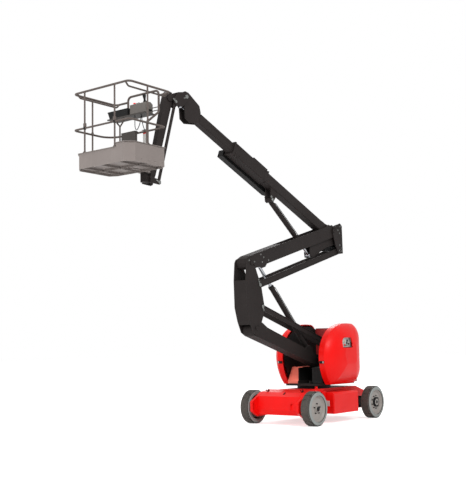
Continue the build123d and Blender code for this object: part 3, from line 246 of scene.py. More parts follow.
def make_weathering():
    """Patchy colour, dust on faces that look up, and rain streaks on upright ones."""
    group, source, sink = new_group(
        "Weathered finish",
        [
            ("Color", "NodeSocketColor", (0.5, 0.5, 0.5, 1.0)),
            ("Dust color", "NodeSocketColor", (0.30, 0.26, 0.22, 1.0)),
            ("Dust", "NodeSocketFloat", 0.15),
            ("Patches", "NodeSocketFloat", 0.08),
            ("Streaks", "NodeSocketFloat", 0.08),
            ("Roughness", "NodeSocketFloat", 0.35),
        ],
        [("Color", "NodeSocketColor"), ("Roughness", "NodeSocketFloat"), ("Height", "NodeSocketFloat")],
    )
    links = group.links
    broad = noise(group, 2.3, 5.0)
    fine = noise(group, 34.0, 3.0)
    streak = noise(group, 1.0, 4.0, (26.0, 26.0, 1.3))
    patch = maths(group, "MULTIPLY", span(group, broad, 0.35, 0.7), source.outputs["Patches"])
    tone = mix_colour(group, "MULTIPLY", patch, source.outputs["Color"], (0.35, 0.33, 0.32, 1.0))
    run = maths(group, "MULTIPLY", span(group, streak, 0.52, 0.75), source.outputs["Streaks"])
    tone = mix_colour(group, "MIX", run, tone, source.outputs["Dust color"])
    normal = group.nodes.new("ShaderNodeTexCoord").outputs["Normal"]
    parts = group.nodes.new("ShaderNodeSeparateXYZ")
    links.new(normal, parts.inputs[0])
    lying = span(group, parts.outputs["Z"], 0.35, 1.0)
    speck = maths(group, "MULTIPLY", span(group, fine, 0.38, 0.66), lying)
    settled = maths(group, "ADD", speck, maths(group, "MULTIPLY", lying, 0.6))
    film = maths(group, "MULTIPLY", settled, source.outputs["Dust"], True)
    tone = mix_colour(group, "MIX", film, tone, source.outputs["Dust color"])
    links.new(tone, sink.inputs["Color"])
    uneven = maths(group, "MULTIPLY", span(group, broad, 0.3, 0.75), 0.10)
    rough = maths(group, "ADD", source.outputs["Roughness"], uneven)
    rough = maths(group, "ADD", rough, maths(group, "MULTIPLY", film, 0.8), True)
    links.new(rough, sink.inputs["Roughness"])
    links.new(maths(group, "ADD", maths(group, "MULTIPLY", fine, 0.4), film), sink.inputs["Height"])
    return group


def make_edge_wear():
    """Bare or paler metal where an edge is rubbed."""
    group, source, sink = new_group(
        "Rubbed edges",
        [
            ("Color", "NodeSocketColor", (0.5, 0.5, 0.5, 1.0)),
            ("Bare color", "NodeSocketColor", (0.35, 0.34, 0.33, 1.0)),
            ("Amount", "NodeSocketFloat", 0.5),
            ("Width", "NodeSocketFloat", 0.004),
        ],
        [("Color", "NodeSocketColor"), ("Mask", "NodeSocketFloat")],
    )
    links = group.links
    bevel = group.nodes.new("ShaderNodeBevel")
    bevel.samples = 4
    links.new(source.outputs["Width"], bevel.inputs["Radius"])
    geometry = group.nodes.new("ShaderNodeNewGeometry")
    dot = group.nodes.new("ShaderNodeVectorMath")
    dot.operation = "DOT_PRODUCT"
    links.new(bevel.outputs["Normal"], dot.inputs[0])
    links.new(geometry.outputs["Normal"], dot.inputs[1])
    turned = span(group, dot.outputs["Value"], 0.995, 0.86)
    broken = span(group, noise(group, 60.0, 4.0), 0.38, 0.60)
    mask = maths(group, "MULTIPLY", maths(group, "MULTIPLY", turned, broken), source.outputs["Amount"], True)
    worn = mix_colour(group, "MIX", mask, source.outputs["Color"], source.outputs["Bare color"])
    links.new(worn, sink.inputs["Color"])
    links.new(mask, sink.inputs["Mask"])
    return group


def make_grain():
    """Fine relief of a casting, a moulding or rubber."""
    group, source, sink = new_group(
        "Surface grain",
        [("Scale", "NodeSocketFloat", 160.0), ("Amount", "NodeSocketFloat", 1.0)],
        [("Height", "NodeSocketFloat")],
    )
    coarse = noise(group, source.outputs["Scale"], 6.0)
    group.links.new(maths(group, "MULTIPLY", coarse, source.outputs["Amount"]), sink.inputs["Height"])
    return group


def shared(name, maker):
    return bpy.data.node_groups.get(name) or maker()


# ---------------------------------------------------------------- finishes


def place_group(tree, group, **values):
    node = tree.nodes.new("ShaderNodeGroup")
    node.node_tree = group
    for label, value in values.items():
        node.inputs[label.replace("_", " ")].default_value = value
    return node


def rgba(colour, alpha=1.0):
    return (colour[0], colour[1], colour[2], alpha)


def make_finish(
    name,
    colour,
    roughness=0.35,
    metallic=0.0,
    coat=0.0,
    dust=0.12,
    patches=0.10,
    streaks=0.06,
    wear=0.0,
    bare=(0.35, 0.34, 0.33),
    wear_width=0.004,
    grain_scale=220.0,
    grain=0.25,
    bump=0.05,
    dust_colour=(0.30, 0.26, 0.22),
    specular=0.5,
):
    """Painted, cast or moulded finish with weather, rubbed edges and fine relief."""
    material = bpy.data.materials.new(name)
    material.use_nodes = True
    tree = material.node_tree
    tree.nodes.clear()
    output = tree.nodes.new("ShaderNodeOutputMaterial")
    shader = tree.nodes.new("ShaderNodeBsdfPrincipled")
    tree.links.new(shader.outputs[0], output.inputs[0])
    shader.inputs["Metallic"].default_value = metallic
    shader.inputs["Specular IOR Level"].default_value = specular
    if coat:
        shader.inputs["Coat Weight"].default_value = coat
        shader.inputs["Coat Roughness"].default_value = 0.12
    weather = place_group(
        tree,
        shared("Weathered finish", make_weathering),
        Color=rgba(colour),
        Dust_color=rgba(dust_colour),
        Dust=dust,
        Patches=patches,
        Streaks=streaks,
        Roughness=roughness,
    )
    tone = weather.outputs["Color"]
    if wear:
        edge = place_group(
            tree,
            shared("Rubbed edges", make_edge_wear),
            Bare_color=rgba(bare),
            Amount=wear,
            Width=wear_width,
        )
        tree.links.new(tone, edge.inputs["Color"])
        tone = edge.outputs["Color"]
    tree.links.new(tone, shader.inputs["Base Color"])
    tree.links.new(weather.outputs["Roughness"], shader.inputs["Roughness"])
    relief = place_group(tree, shared("Surface grain", make_grain), Scale=grain_scale, Amount=grain)
    height = maths(tree, "ADD", relief.outputs["Height"], maths(tree, "MULTIPLY", weather.outputs["Height"], 0.15))
    bump_node = tree.nodes.new("ShaderNodeBump")
    bump_node.inputs["Strength"].default_value = bump
    bump_node.inputs["Distance"].default_value = 0.002
    tree.links.new(height, bump_node.inputs["Height"])
    tree.links.new(bump_node.outputs["Normal"], shader.inputs["Normal"])
    return material


def make_tyre_rubber(name, side_colour, tread_colour):
    """Non-marking rubber: pale sidewalls and a soiled tread, told apart by the face's direction."""
    material = make_finish(
        name, side_colour, roughness=0.78, dust=0.10, patches=0.16, streaks=0.0, grain_scale=420.0, grain=0.7, bump=0.12
    )
    tree = material.node_tree
    shader = next(n for n in tree.nodes if n.type == "BSDF_PRINCIPLED")
    weathered = shader.inputs["Base Color"].links[0].from_socket
    parts = tree.nodes.new("ShaderNodeSeparateXYZ")
    place = tree.nodes.new("ShaderNodeTexCoord")
    tree.links.new(place.outputs["Normal"], parts.inputs[0])
    facing = span(tree, maths(tree, "ABSOLUTE", parts.outputs["Y"]), 0.45, 0.8)
    soil = span(tree, noise(tree, 18.0, 5.0), 0.3, 0.7, 0.75, 1.15)
    tread = mix_colour(tree, "MULTIPLY", 1.0, rgba(tread_colour), soil)
    tree.links.new(mix_colour(tree, "MIX", facing, tread, weathered), shader.inputs["Base Color"])
    return material


def finish_table():
    c = colours()
    return {
        "red_paint": lambda: make_finish(
            "Red enamel", c.cover_red, roughness=0.34, coat=0.04, dust=0.03, patches=0.10, streaks=0.012,
            wear=0.30, bare=(0.95, 0.06, 0.04), wear_width=0.006, grain_scale=90.0, grain=0.12, bump=0.04,
            specular=0.16,
        ),
        "dark_red_cast": lambda: make_finish(
            "Cast red enamel", c.cast_red, roughness=0.45, dust=0.12, patches=0.25, streaks=0.08,
            wear=0.5, bare=(0.55, 0.05, 0.04), grain_scale=70.0, grain=0.9, bump=0.18,
        ),
        "inner_red": lambda: make_finish(
            "Bleached red enamel", c.salmon, roughness=0.5, dust=0.10, patches=0.15, streaks=0.04, grain=0.2,
        ),
        "charcoal_paint": lambda: make_finish(
            "Charcoal enamel", c.charcoal, roughness=0.62, dust=0.03, patches=0.14, streaks=0.015,
            wear=0.35, bare=(0.085, 0.075, 0.070), wear_width=0.005, grain_scale=160.0, grain=0.25, bump=0.015,
            dust_colour=(0.12, 0.10, 0.09), specular=0.14,
        ),
        "black_cast": lambda: make_finish(
            "Black casting", (0.006, 0.006, 0.0065), roughness=0.55, specular=0.16,
            dust=0.05, patches=0.2, streaks=0.03,
            wear=0.25, bare=(0.09, 0.085, 0.08), grain_scale=110.0, grain=0.9, bump=0.15,
            dust_colour=(0.12, 0.10, 0.09),
        ),
        "chrome_rod": lambda: make_finish(
            "Polished rod", (0.34, 0.35, 0.37), roughness=0.10, metallic=1.0, dust=0.03, patches=0.15, streaks=0.0,
            grain_scale=600.0, grain=0.1, bump=0.02,
        ),
        "warm_grey": lambda: make_finish(
            "Warm grey enamel", c.platform_grey, roughness=0.5, specular=0.25, dust=0.10, patches=0.14, streaks=0.05,
            wear=0.5, bare=(0.44, 0.42, 0.40), grain_scale=200.0, grain=0.3, bump=0.06, dust_colour=(0.36, 0.33, 0.30),
        ),
        "rail_paint": lambda: make_finish(
            "Rail enamel", c.rail_brown, roughness=0.5, specular=0.25, dust=0.10, patches=0.16, streaks=0.05,
            wear=0.5, bare=(0.30, 0.27, 0.25), grain_scale=260.0, grain=0.25, bump=0.05, dust_colour=(0.28, 0.25, 0.22),
        ),
        "wheel_grey": lambda: make_finish(
            "Wheel enamel", c.wheel_grey, roughness=0.40, dust=0.12, patches=0.15, streaks=0.05,
            wear=0.5, bare=(0.55, 0.53, 0.5), grain_scale=220.0, grain=0.25,
        ),
        "tyre_rubber": lambda: make_tyre_rubber("Non-marking rubber", c.tyre_grey, c.tread_grey),
        "black_plastic": lambda: make_finish(
            "Black moulding", (0.006, 0.0058, 0.0056), roughness=0.55, specular=0.16,
            dust=0.04, patches=0.1, streaks=0.02,
            grain_scale=520.0, grain=0.8, bump=0.10, dust_colour=(0.14, 0.125, 0.11),
        ),
        "panel_grey": lambda: make_finish(
            "Panel moulding", (0.120, 0.108, 0.098), roughness=0.5, specular=0.25, dust=0.06, streaks=0.02,
            grain_scale=480.0, grain=0.6, bump=0.08,
        ),
        "plated": lambda: make_finish(
            "Plated steel", (0.24, 0.25, 0.24), roughness=0.34, metallic=0.9, dust=0.10, patches=0.3, streaks=0.0,
            grain_scale=420.0, grain=0.3, bump=0.04,
        ),
        "box_grey": lambda: make_finish(
            "Dark box moulding", (0.045, 0.039, 0.035), roughness=0.55, specular=0.25, dust=0.06, streaks=0.02,
            grain_scale=480.0, grain=0.6, bump=0.08,
        ),
        "pale_panel": lambda: make_finish(
            "Pale panel", (0.52, 0.51, 0.49), roughness=0.42, dust=0.05, patches=0.10, streaks=0.02, grain=0.2,
        ),
        "signal_red": lambda: make_finish(
            "Signal red moulding", (0.78, 0.015, 0.012), roughness=0.32,
            dust=0.03, patches=0.06, streaks=0.0, grain=0.2,
        ),
        "signal_yellow": lambda: make_finish(
            "Signal yellow moulding", (0.80, 0.46, 0.02), roughness=0.36,
            dust=0.03, patches=0.06, streaks=0.0, grain=0.2,
        ),
        "signal_green": lambda: make_finish(
            "Signal green moulding", (0.03, 0.32, 0.10), roughness=0.36,
            dust=0.03, patches=0.06, streaks=0.0, grain=0.2,
        ),
    }


def finish(slot):
    """The finish of a material slot or of a small fitting, made once."""
    key = "slot " + slot
    known = bpy.context.scene.get(key)
    if known:
        return bpy.data.materials[known]
    material = finish_table()[slot]()
    bpy.context.scene[key] = material.name
    return material


# ---------------------------------------------------------------- modelling helpers


def start_clean():
    if bpy.context.object and bpy.context.object.mode != "OBJECT":
        bpy.ops.object.mode_set(mode="OBJECT")
    bpy.ops.object.select_all(action="DESELECT")


def select_only(piece):
    start_clean()
    piece.select_set(True)
    bpy.context.view_layer.objects.active = piece


def settle(piece):
    """Moves a piece's place into its mesh, so its object sits at the origin."""
    select_only(piece)
    bpy.ops.object.transform_apply(location=True, rotation=True, scale=True)
    return piece


def round_edges(piece, width, segments=2):
    select_only(piece)
    bevel = piece.modifiers.new("Rounded edges", "BEVEL")
    bevel.width = width
    bevel.segments = segments
    bevel.limit_method = "ANGLE"
    bevel.angle_limit = math.radians(40)
    bpy.ops.object.modifier_apply(modifier=bevel.name)
    return piece


def block(name, low, high, bevel=0.003, segments=2):
    """Block between two corners with rounded edges."""
    start_clean()
    low = Vector(low)
    high = Vector(high)
    bpy.ops.mesh.primitive_cube_add(size=1.0, location=(low + high) / 2)
    piece = bpy.context.object
    piece.name = name
    piece.scale = high - low
    settle(piece)
    return round_edges(piece, bevel, segments)


def drum(name, centre, radius, depth, direction=(0, 0, 1), sides=24, bevel=0.002):
    """Round bar about a centre along a direction, with rounded rims."""
    start_clean()
    bpy.ops.mesh.primitive_cylinder_add(vertices=sides, radius=radius, depth=depth, location=centre)
    piece = bpy.context.object
    piece.name = name
    piece.rotation_mode = "QUATERNION"
    piece.rotation_quaternion = Vector(direction).to_track_quat("Z", "Y")
    settle(piece)
    return round_edges(piece, bevel, 2)


def join(pieces, name):
    start_clean()
    for piece in pieces:
        piece.select_set(True)
    bpy.context.view_layer.objects.active = pieces[0]
    bpy.ops.object.join()
    pieces[0].name = name
    return pieces[0]


def copied(piece, name, matrix):
    """Copy of a piece with its own mesh, moved by a matrix."""
    twin = piece.copy()
    twin.data = piece.data.copy()
    twin.name = name
    bpy.context.scene.collection.objects.link(twin)
    twin.data.transform(matrix)
    return twin


def dress(piece, body, slot, material=None, smooth=35.0):
    """Gives a piece its body and the finish of a record slot, or the given material."""
    select_only(piece)
    bpy.ops.object.shade_smooth_by_angle(angle=math.radians(smooth))
    piece.data.materials.clear()
    piece.data.materials.append(material or finish(slot))
    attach(piece, body)
    return piece


def hose(name, points, radius, body, slot="black_plastic", sides=10):
    """Hose that is clipped along its whole way, as a smooth tube."""
    curve = bpy.data.curves.new(name, "CURVE")
    curve.dimensions = "3D"
    spline = curve.splines.new("NURBS")
    spline.points.add(len(points) - 1)
    for point, place in zip(spline.points, points):
        point.co = (*place, 1.0)
    spline.order_u = 3
    spline.use_endpoint_u = True
    spline.resolution_u = 8
    curve.bevel_depth = radius
    curve.bevel_resolution = max(1, sides // 4)
    curve.use_fill_caps = True
    piece = bpy.data.objects.new(name, curve)
    bpy.context.scene.collection.objects.link(piece)
    select_only(piece)
    bpy.ops.object.convert(target="MESH")
    return dress(bpy.context.object, body, slot, smooth=60.0)


# ---------------------------------------------------------------- shaping in edit mode


def enter_edit(piece, kind="FACE"):
    select_only(piece)
    bpy.ops.object.mode_set(mode="EDIT")
    bpy.ops.mesh.select_mode(type=kind)
    bpy.ops.mesh.select_all(action="DESELECT")


def pick(piece, test, kind="faces"):
    """Selects only the faces, edges or vertices that pass a test."""
    bpy.ops.mesh.select_all(action="DESELECT")
    shape = bmesh.from_edit_mesh(piece.data)
    for item in getattr(shape, kind):
        if test(item):
            item.select_set(True)
    shape.select_flush_mode()
    bmesh.update_edit_mesh(piece.data)


def leave_edit():
    bpy.ops.object.mode_set(mode="OBJECT")


def facing_out(direction):
    """Matrix that turns a piece's own Z to a direction."""
    return Vector(direction).to_track_quat("Z", "Y").to_matrix().to_4x4()


def mirror_across(piece):
    """Mirrors a piece over the plane of symmetry and turns its faces out again."""
    piece.data.transform(Matrix.Scale(-1, 4, (0, 1, 0)))
    enter_edit(piece)
    bpy.ops.mesh.select_all(action="SELECT")
    bpy.ops.mesh.normals_make_consistent(inside=False)
    leave_edit()
    return piece


def turned(name, profile, open_ends=False, steps=28):
    """Piece turned about Z by spinning a profile of (radius, height), top first."""
    start_clean()
    bpy.ops.mesh.primitive_plane_add(size=0.01)
    piece = bpy.context.object
    piece.name = name
    enter_edit(piece, "VERT")
    bpy.ops.mesh.select_all(action="SELECT")
    bpy.ops.mesh.merge(type="CENTER")
    shape = bmesh.from_edit_mesh(piece.data)
    shape.verts.ensure_lookup_table()
    first = shape.verts[0]
    first.co = (profile[0][0], 0, profile[0][1])
    first.select_set(True)
    bmesh.update_edit_mesh(piece.data)
    for (r0, h0), (r1, h1) in zip(profile, profile[1:]):
        bpy.ops.mesh.extrude_region_move(TRANSFORM_OT_translate={"value": (r1 - r0, 0, h1 - h0)})
    bpy.ops.mesh.select_all(action="SELECT")
    bpy.ops.mesh.spin(steps=steps, angle=2 * math.pi, center=(0, 0, 0), axis=(0, 0, 1), use_auto_merge=True)
    bpy.ops.mesh.select_all(action="SELECT")
    bpy.ops.mesh.remove_doubles(threshold=1e-6)
    if open_ends:
        # close the ring between its first and last loops
        bpy.ops.mesh.select_mode(type="EDGE")
        pick(piece, lambda e: e.is_boundary, "edges")
        bpy.ops.mesh.bridge_edge_loops()
    else:
        bpy.ops.mesh.select_mode(type="EDGE")
        pick(piece, lambda e: e.is_boundary, "edges")
        bpy.ops.mesh.edge_face_add()
    bpy.ops.mesh.select_all(action="SELECT")
    bpy.ops.mesh.normals_make_consistent(inside=False)
    leave_edit()
    return piece


def turned_at(name, profile, place, direction, open_ends=False):
    piece = turned(name, profile, open_ends)
    piece.data.transform(Matrix.Translation(place) @ facing_out(direction))
    return piece


def bent_ring(name, radius, thickness):
    """Round ring of bar about Z."""
    start_clean()
    bpy.ops.mesh.primitive_circle_add(
        vertices=8, radius=thickness, location=(radius, 0, 0), rotation=(math.pi / 2, 0, 0)
    )
    ring = bpy.context.object
    ring.name = name
    settle(ring)
    enter_edit(ring, "EDGE")
    bpy.ops.mesh.select_all(action="SELECT")
    bpy.ops.mesh.spin(steps=28, angle=2 * math.pi, center=(0, 0, 0), axis=(0, 0, 1), use_auto_merge=True)
    bpy.ops.mesh.select_all(action="SELECT")
    bpy.ops.mesh.remove_doubles(threshold=1e-6)
    bpy.ops.mesh.normals_make_consistent(inside=False)
    leave_edit()
    return ring


def hex_bolt(radius, height, stud=0.0):
    """Hexagon head on its washer, standing on the plane z = 0."""
    start_clean()
    washer_height = 0.0025
    bpy.ops.mesh.primitive_cylinder_add(
        vertices=6, radius=radius, depth=height, location=(0, 0, washer_height + height / 2)
    )
    head = settle(bpy.context.object)
    enter_edit(head)
    pick(head, lambda f: f.normal.z > 0.9)
    bpy.ops.mesh.inset(thickness=radius * 0.12, depth=height * 0.12)
    if stud:
        bpy.ops.mesh.inset(thickness=radius * 0.25)
        bpy.ops.mesh.extrude_region_move(TRANSFORM_OT_translate={"value": (0, 0, stud)})
    leave_edit()
    washer = drum("washer", (0, 0, washer_height / 2), radius * 1.4, washer_height, sides=14, bevel=0.0006)
    return join([head, washer], "bolt")


def bolts(name, places, direction, body, slot, radius=0.010, height=0.008, stud=0.0, material=None):
    """Like bolts at several places, all turned to one direction, as one piece."""
    first = hex_bolt(radius, height, stud)
    turn = facing_out(direction)
    copies = [copied(first, "bolt", Matrix.Translation(place) @ turn) for place in places]
    bpy.data.objects.remove(first)
    return dress(join(copies, name), body, slot, material)


def ring_places(centre, side, ring):
    """Places round a wheel's centre from (radius, distance out, angle) rows."""
    places = []
    for radius, out, angle in ring:
        turn = math.radians(angle)
        places.append(centre + Vector((radius * math.cos(turn), side * out, radius * math.sin(turn))))
    return places


def pin_cap(radius):
    """Dished pin end with its keeper plate along X and a bolt, standing on z = 0."""
    cap = turned("cap", ((0.0, 0.009), (radius * 0.55, 0.009), (radius * 0.62, 0.012), (radius * 0.94, 0.012),
                         (radius, 0.010), (radius, -0.002)))
    keeper = block("keeper", (radius * 0.7, -0.012, -0.004), (radius + 0.050, 0.012, 0.007), 0.003)
    head = hex_bolt(0.009, 0.007)
    head.data.transform(Matrix.Translation((radius + 0.030, 0, 0.007)))
    return join([cap, keeper, head], "cap")


def tread_tyre(name, radius, bore, width, lugs=38, lug_height=0.013, rib=0.010):
    """Solid tyre about Y with rounded shoulders, ringed sidewalls and slanted lugs."""
    base = radius - lug_height
    sides = lugs * 3
    start_clean()
    bpy.ops.mesh.primitive_cylinder_add(vertices=sides, radius=base, depth=width, rotation=(math.pi / 2, 0, 0))
    tyre = settle(bpy.context.object)
    tyre.name = name
    enter_edit(tyre)
    pick(tyre, lambda f: abs(f.normal.y) > 0.9)
    bpy.ops.mesh.inset(thickness=base - bore)
    bpy.ops.mesh.bridge_edge_loops()
    bpy.ops.mesh.select_mode(type="EDGE")

    def on_rim(edge):
        return all(abs(v.co.y) > width / 2 - 1e-4 and math.hypot(v.co.x, v.co.z) > base - 1e-3 for v in edge.verts)

    pick(tyre, on_rim, "edges")
    bpy.ops.mesh.bevel(offset=0.022, segments=3)
    bpy.ops.mesh.select_mode(type="FACE")
    pick(tyre, lambda f: abs(f.normal.y) > 0.99)
    bpy.ops.mesh.inset(thickness=0.010, depth=-0.003)

    def on_tread(face):
        middle = face.calc_center_median()
        return math.hypot(face.normal.x, face.normal.z) > 0.99 and math.hypot(middle.x, middle.z) > base - 0.004

    for place in (rib, -rib):
        pick(tyre, on_tread)
        bpy.ops.mesh.bisect(plane_co=(0, place, 0), plane_no=(0, 1, 0))

    def on_lug(face):
        middle = face.calc_center_median()
        step = int((math.atan2(middle.z, middle.x) % (2 * math.pi)) / (2 * math.pi / sides))
        return on_tread(face) and (abs(middle.y) < rib or step % 3 != 0)

    pick(tyre, on_lug)
    bpy.ops.mesh.extrude_region_move()
    grow = radius / base
    bpy.ops.transform.resize(value=(grow, 1, grow), center_override=(0, 0, 0))
    bpy.ops.mesh.select_mode(type="VERT")
    pick(tyre, lambda v: abs(v.co.y) < rib + 1e-3 and math.hypot(v.co.x, v.co.z) > base - 2e-3, "verts")
    bpy.ops.transform.rotate(value=1.2 * math.pi / lugs, orient_axis="Y", center_override=(0, 0, 0))
    leave_edit()
    return tyre


def chain_link(pitch):
    """One link of an energy chain: two side plates and two cross bars, along X."""
    parts = []
    for side in (1, -1):
        low = (-0.08 * pitch, side * 0.036 - 0.004, -0.020)
        high = (0.98 * pitch, side * 0.036 + 0.004, 0.020)
        plate = block("side", low, high, 0.003)
        enter_edit(plate)
        pick(plate, lambda f: f.normal.y * side > 0.9 and f.calc_area() > 0.0005)
        bpy.ops.mesh.inset(thickness=0.006, depth=-0.0015)
        leave_edit()
        parts.append(plate)
    for z in (0.017, -0.017):
        parts.append(block("bar", (0.30 * pitch, -0.034, z - 0.003), (0.62 * pitch, 0.034, z + 0.003), 0.002))
    return join(parts, "link")


def curtain(name, centre, run, rise, radius, thickness, half_width, start, end):
    """Curved sheet round an axis across the machine, between two angles from the run."""
    start_clean()
    bpy.ops.mesh.primitive_plane_add(size=1.0)
    sheet = bpy.context.object
    sheet.name = name
    enter_edit(sheet, "VERT")
    bpy.ops.mesh.select_all(action="SELECT")
    bpy.ops.mesh.merge(type="CENTER")
    shape = bmesh.from_edit_mesh(sheet.data)
    shape.verts.ensure_lookup_table()
    shape.verts[0].co = (radius, -half_width, 0)
    shape.verts[0].select_set(True)
    bmesh.update_edit_mesh(sheet.data)
    for value in ((0, half_width, 0), (0, half_width, 0)):
        bpy.ops.mesh.extrude_region_move(TRANSFORM_OT_translate={"value": value})
    bpy.ops.mesh.select_all(action="SELECT")
    bpy.ops.mesh.spin(steps=14, angle=math.radians(end - start), center=(0, 0, 0), axis=(0, -1, 0))
    bpy.ops.mesh.select_all(action="SELECT")
    bpy.ops.mesh.remove_doubles(threshold=1e-6)
    bpy.ops.mesh.normals_make_consistent(inside=False)
    leave_edit()
    wall = sheet.modifiers.new("Thickness", "SOLIDIFY")
    wall.thickness = thickness
    wall.offset = 0.0
    bpy.ops.object.modifier_apply(modifier=wall.name)
    basis = Matrix((run, Vector((0, 1, 0)), rise)).transposed().to_4x4()
    sheet.data.transform(Matrix.Translation(centre) @ basis @ Matrix.Rotation(-math.radians(start), 4, "Y"))
    return round_edges(sheet, thickness * 0.3)


def guarded_hose(name, start, end, reach, radius):
    """Hose in a spiral guard, along X at a distance on Z."""
    core = drum("core", ((start + end) / 2, 0, reach), radius * 0.8, end - start + 0.05, (1, 0, 0), 12, 0.002)
    turn = drum("turn", (0, 0, 0), radius, 0.010, (1, 0, 0), 12, 0.003)
    turns = [core]
    pitch = 0.015
    for k in range(int((end - start) / pitch)):
        turns.append(copied(turn, "turn", Matrix.Translation((start + k * pitch, 0, reach))))
    bpy.data.objects.remove(turn)
    return join(turns, name)


def pivot(joint):
    """Where a joint turns, at rest."""
    row = next(j for j in frame["joints"] if j["name"] == joint)
    return Vector(row["pos_m"])


def axis_of(joint):
    row = next(j for j in frame["joints"] if j["name"] == joint)
    return Vector(row["axis"]).normalized()


corners = ("front_left", "front_right", "rear_left", "rear_right")

# lengths of the two hanging cables, in metres
CABLE_FRONT = 0.51
CABLE_BACK = 0.52
CABLE_WIDTH = 0.012

# distances from the middle of the riser, in metres: outer faces of the head's and the knuckle's plates,
# ends of their pins, and the end of the pin that passes inside the counterweight's slot
PLATE_FACE = 0.134
PIN_END = 0.142
SUNK_PIN_END = 0.1275

# posts of the platform: their radius with a little play, and where the side posts stand
POST_BORE = 0.0135
SIDE_POST_X = 5.015
SIDE_POST_Y = 0.577


# ---------------------------------------------------------------- operators


# nodes whose finish differs from that of their slot
own_finish = {"document_box": "box_grey", "control_shelf": "box_grey", "slew_ring": "black_cast"}


class LIFT_OT_finishes(bpy.types.Operator):
    """Give every carried-over node its finish"""

    bl_idname = "lift.finishes"
    bl_label = "Finishes"

    def execute(self, context):
        for part in frame["record"]["subparts"]:
            node = nodes[part["node"]]
            material = finish(own_finish.get(part["node"], part["material_slot"]))
            if node.material_slots:
                for slot in node.material_slots:
                    slot.material = material
            else:
                node.data.materials.append(material)
        return {"FINISHED"}


class LIFT_OT_tyres(bpy.types.Operator):
    """Model the lugged tyres and put them in place of the plain ones"""

    bl_idname = "lift.tyres"
    bl_label = "Tyres"

    def execute(self, context):
        low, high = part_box("tyre_front_left")
        wheel_low, wheel_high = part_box("wheel_front_left")
        radius = (high.x - low.x) / 2
        tyre = tread_tyre("tyre", radius, (wheel_high.x - wheel_low.x) / 2 + 0.0004, high.y - low.y)
        for corner in corners:
            low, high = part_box("tyre_" + corner)
            piece = copied(tyre, "lugged_tyre_" + corner, Matrix.Translation((low + high) / 2))
            dress(piece, "wheel_" + corner, "tyre_rubber")
            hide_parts("tyre_" + corner)
        bpy.data.objects.remove(tyre)
        return {"FINISHED"}


class LIFT_OT_wheel_fittings(bpy.types.Operator):
    """Add the wheel nuts, the small front hub caps and the black rear hubs"""

    bl_idname = "lift.wheel_fittings"
    bl_label = "Wheel fittings"

    def execute(self, context):
        nut = sizes().nut_radius
        for corner in corners:
            low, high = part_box("wheel_" + corner)
            side = 1 if high.y > 0 else -1
            centre = Vector(((low.x + high.x) / 2, 0, (low.z + high.z) / 2))
            face = max(abs(low.y), abs(high.y))
            out = (0, side, 0)
            body = "wheel_" + corner
            if corner.startswith("front"):
                hub = turned("hub", ((0.0, 0.014), (0.030, 0.014), (0.036, 0.009), (0.043, 0.007), (0.043, -0.004)))
                place = centre + Vector((0, side * (face - 0.003), 0))
                hub.data.transform(Matrix.Translation(place) @ facing_out(out))
                dress(hub, body, "black_cast").name = "hub_cap_" + corner
                ring = [(0.087, face - 0.030, a) for a in range(18, 378, 72)]
                places = ring_places(centre, side, ring)
                bolts("wheel_nuts_" + corner, places, out, body, "black_cast", nut, 0.012, 0.010)
            else:
                profile = (
                    (0.0, 0.003), (0.030, 0.003), (0.034, -0.001), (0.058, -0.001), (0.062, 0.000),
                    (0.083, 0.000), (0.089, -0.006), (0.089, -0.052),
                )
                hub = turned("hub", profile)
                place = centre + Vector((0, side * face, 0))
                hub.data.transform(Matrix.Translation(place) @ facing_out(out))
                dress(hub, body, "black_cast").name = "drive_hub_" + corner
                ring = [(0.073, face - 0.002, a) for a in range(0, 360, 45)]
                bolts("hub_bolts_" + corner, ring_places(centre, side, ring), out, body, "black_cast", 0.008, 0.005)
                ring = [(0.118, face - 0.042, a) for a in range(22, 382, 40)]
                places = ring_places(centre, side, ring)
                bolts("wheel_nuts_" + corner, places, out, body, "black_cast", nut, 0.012, 0.008)
        return {"FINISHED"}


class LIFT_OT_pins(bpy.types.Operator):
    """Add a capped, keepered end to each pin of the arms, the boom and the jib"""

    bl_idname = "lift.pins"
    bl_label = "Pins"

    def execute(self, context):
        arm_step = pivot("knuckle_level") - pivot("arm_lift")
        back_step = pivot("head_level") - pivot("upper_arm_lift")
        jib_step = pivot("platform_level") - pivot("jib_lift")
        # name, body, place, outer end of the pin, cap radius, direction of the keeper in degrees
        table = (
            ("knuckle_low", "knuckle", pivot("knuckle_level"), PIN_END, 0.036, 150),
            ("knuckle_tie", "knuckle", pivot("lower_tie_swing") + arm_step, PIN_END, 0.030, 250),
            ("knuckle_high", "knuckle", pivot("upper_arm_lift"), PIN_END, 0.036, 200),
            ("knuckle_upper_tie", "knuckle", pivot("upper_tie_swing"), PIN_END, 0.030, 60),
            ("head", "head", pivot("head_level"), PIN_END, 0.036, 140),
            ("head_tie", "head", pivot("upper_tie_swing") + back_step, SUNK_PIN_END, 0.030, 120),
            ("boom", "head", pivot("boom_lift"), 0.092, 0.038, 110),
            ("lift_eye", "boom_base", pivot("boom_cylinder_swing"), 0.072, 0.028, 60),
            ("level", "level_bracket", pivot("nose_level"), 0.094, 0.032, 330),
            ("jib_link", "level_bracket", pivot("jib_link_swing"), 0.094, 0.024, 30),
            ("jib_low_link", "platform_mount", pivot("jib_link_swing") + jib_step, 0.094, 0.024, 20),
        )
        for name, body, place, half, radius, turn in table:
            ends = []
            for side in (1, -1):
                cap = pin_cap(radius)
                across = Vector((math.cos(math.radians(turn)), 0, math.sin(math.radians(turn))))
                out = Vector((0, side, 0))
                basis = Matrix((across, out.cross(across), out)).transposed().to_4x4()
                cap.data.transform(Matrix.Translation(place + out * (half - 0.004)) @ basis)
                ends.append(cap)
            dress(join(ends, "pin_caps_" + name), body, "charcoal_paint", finish("plated") if radius < 0.033 else None)
        return {"FINISHED"}


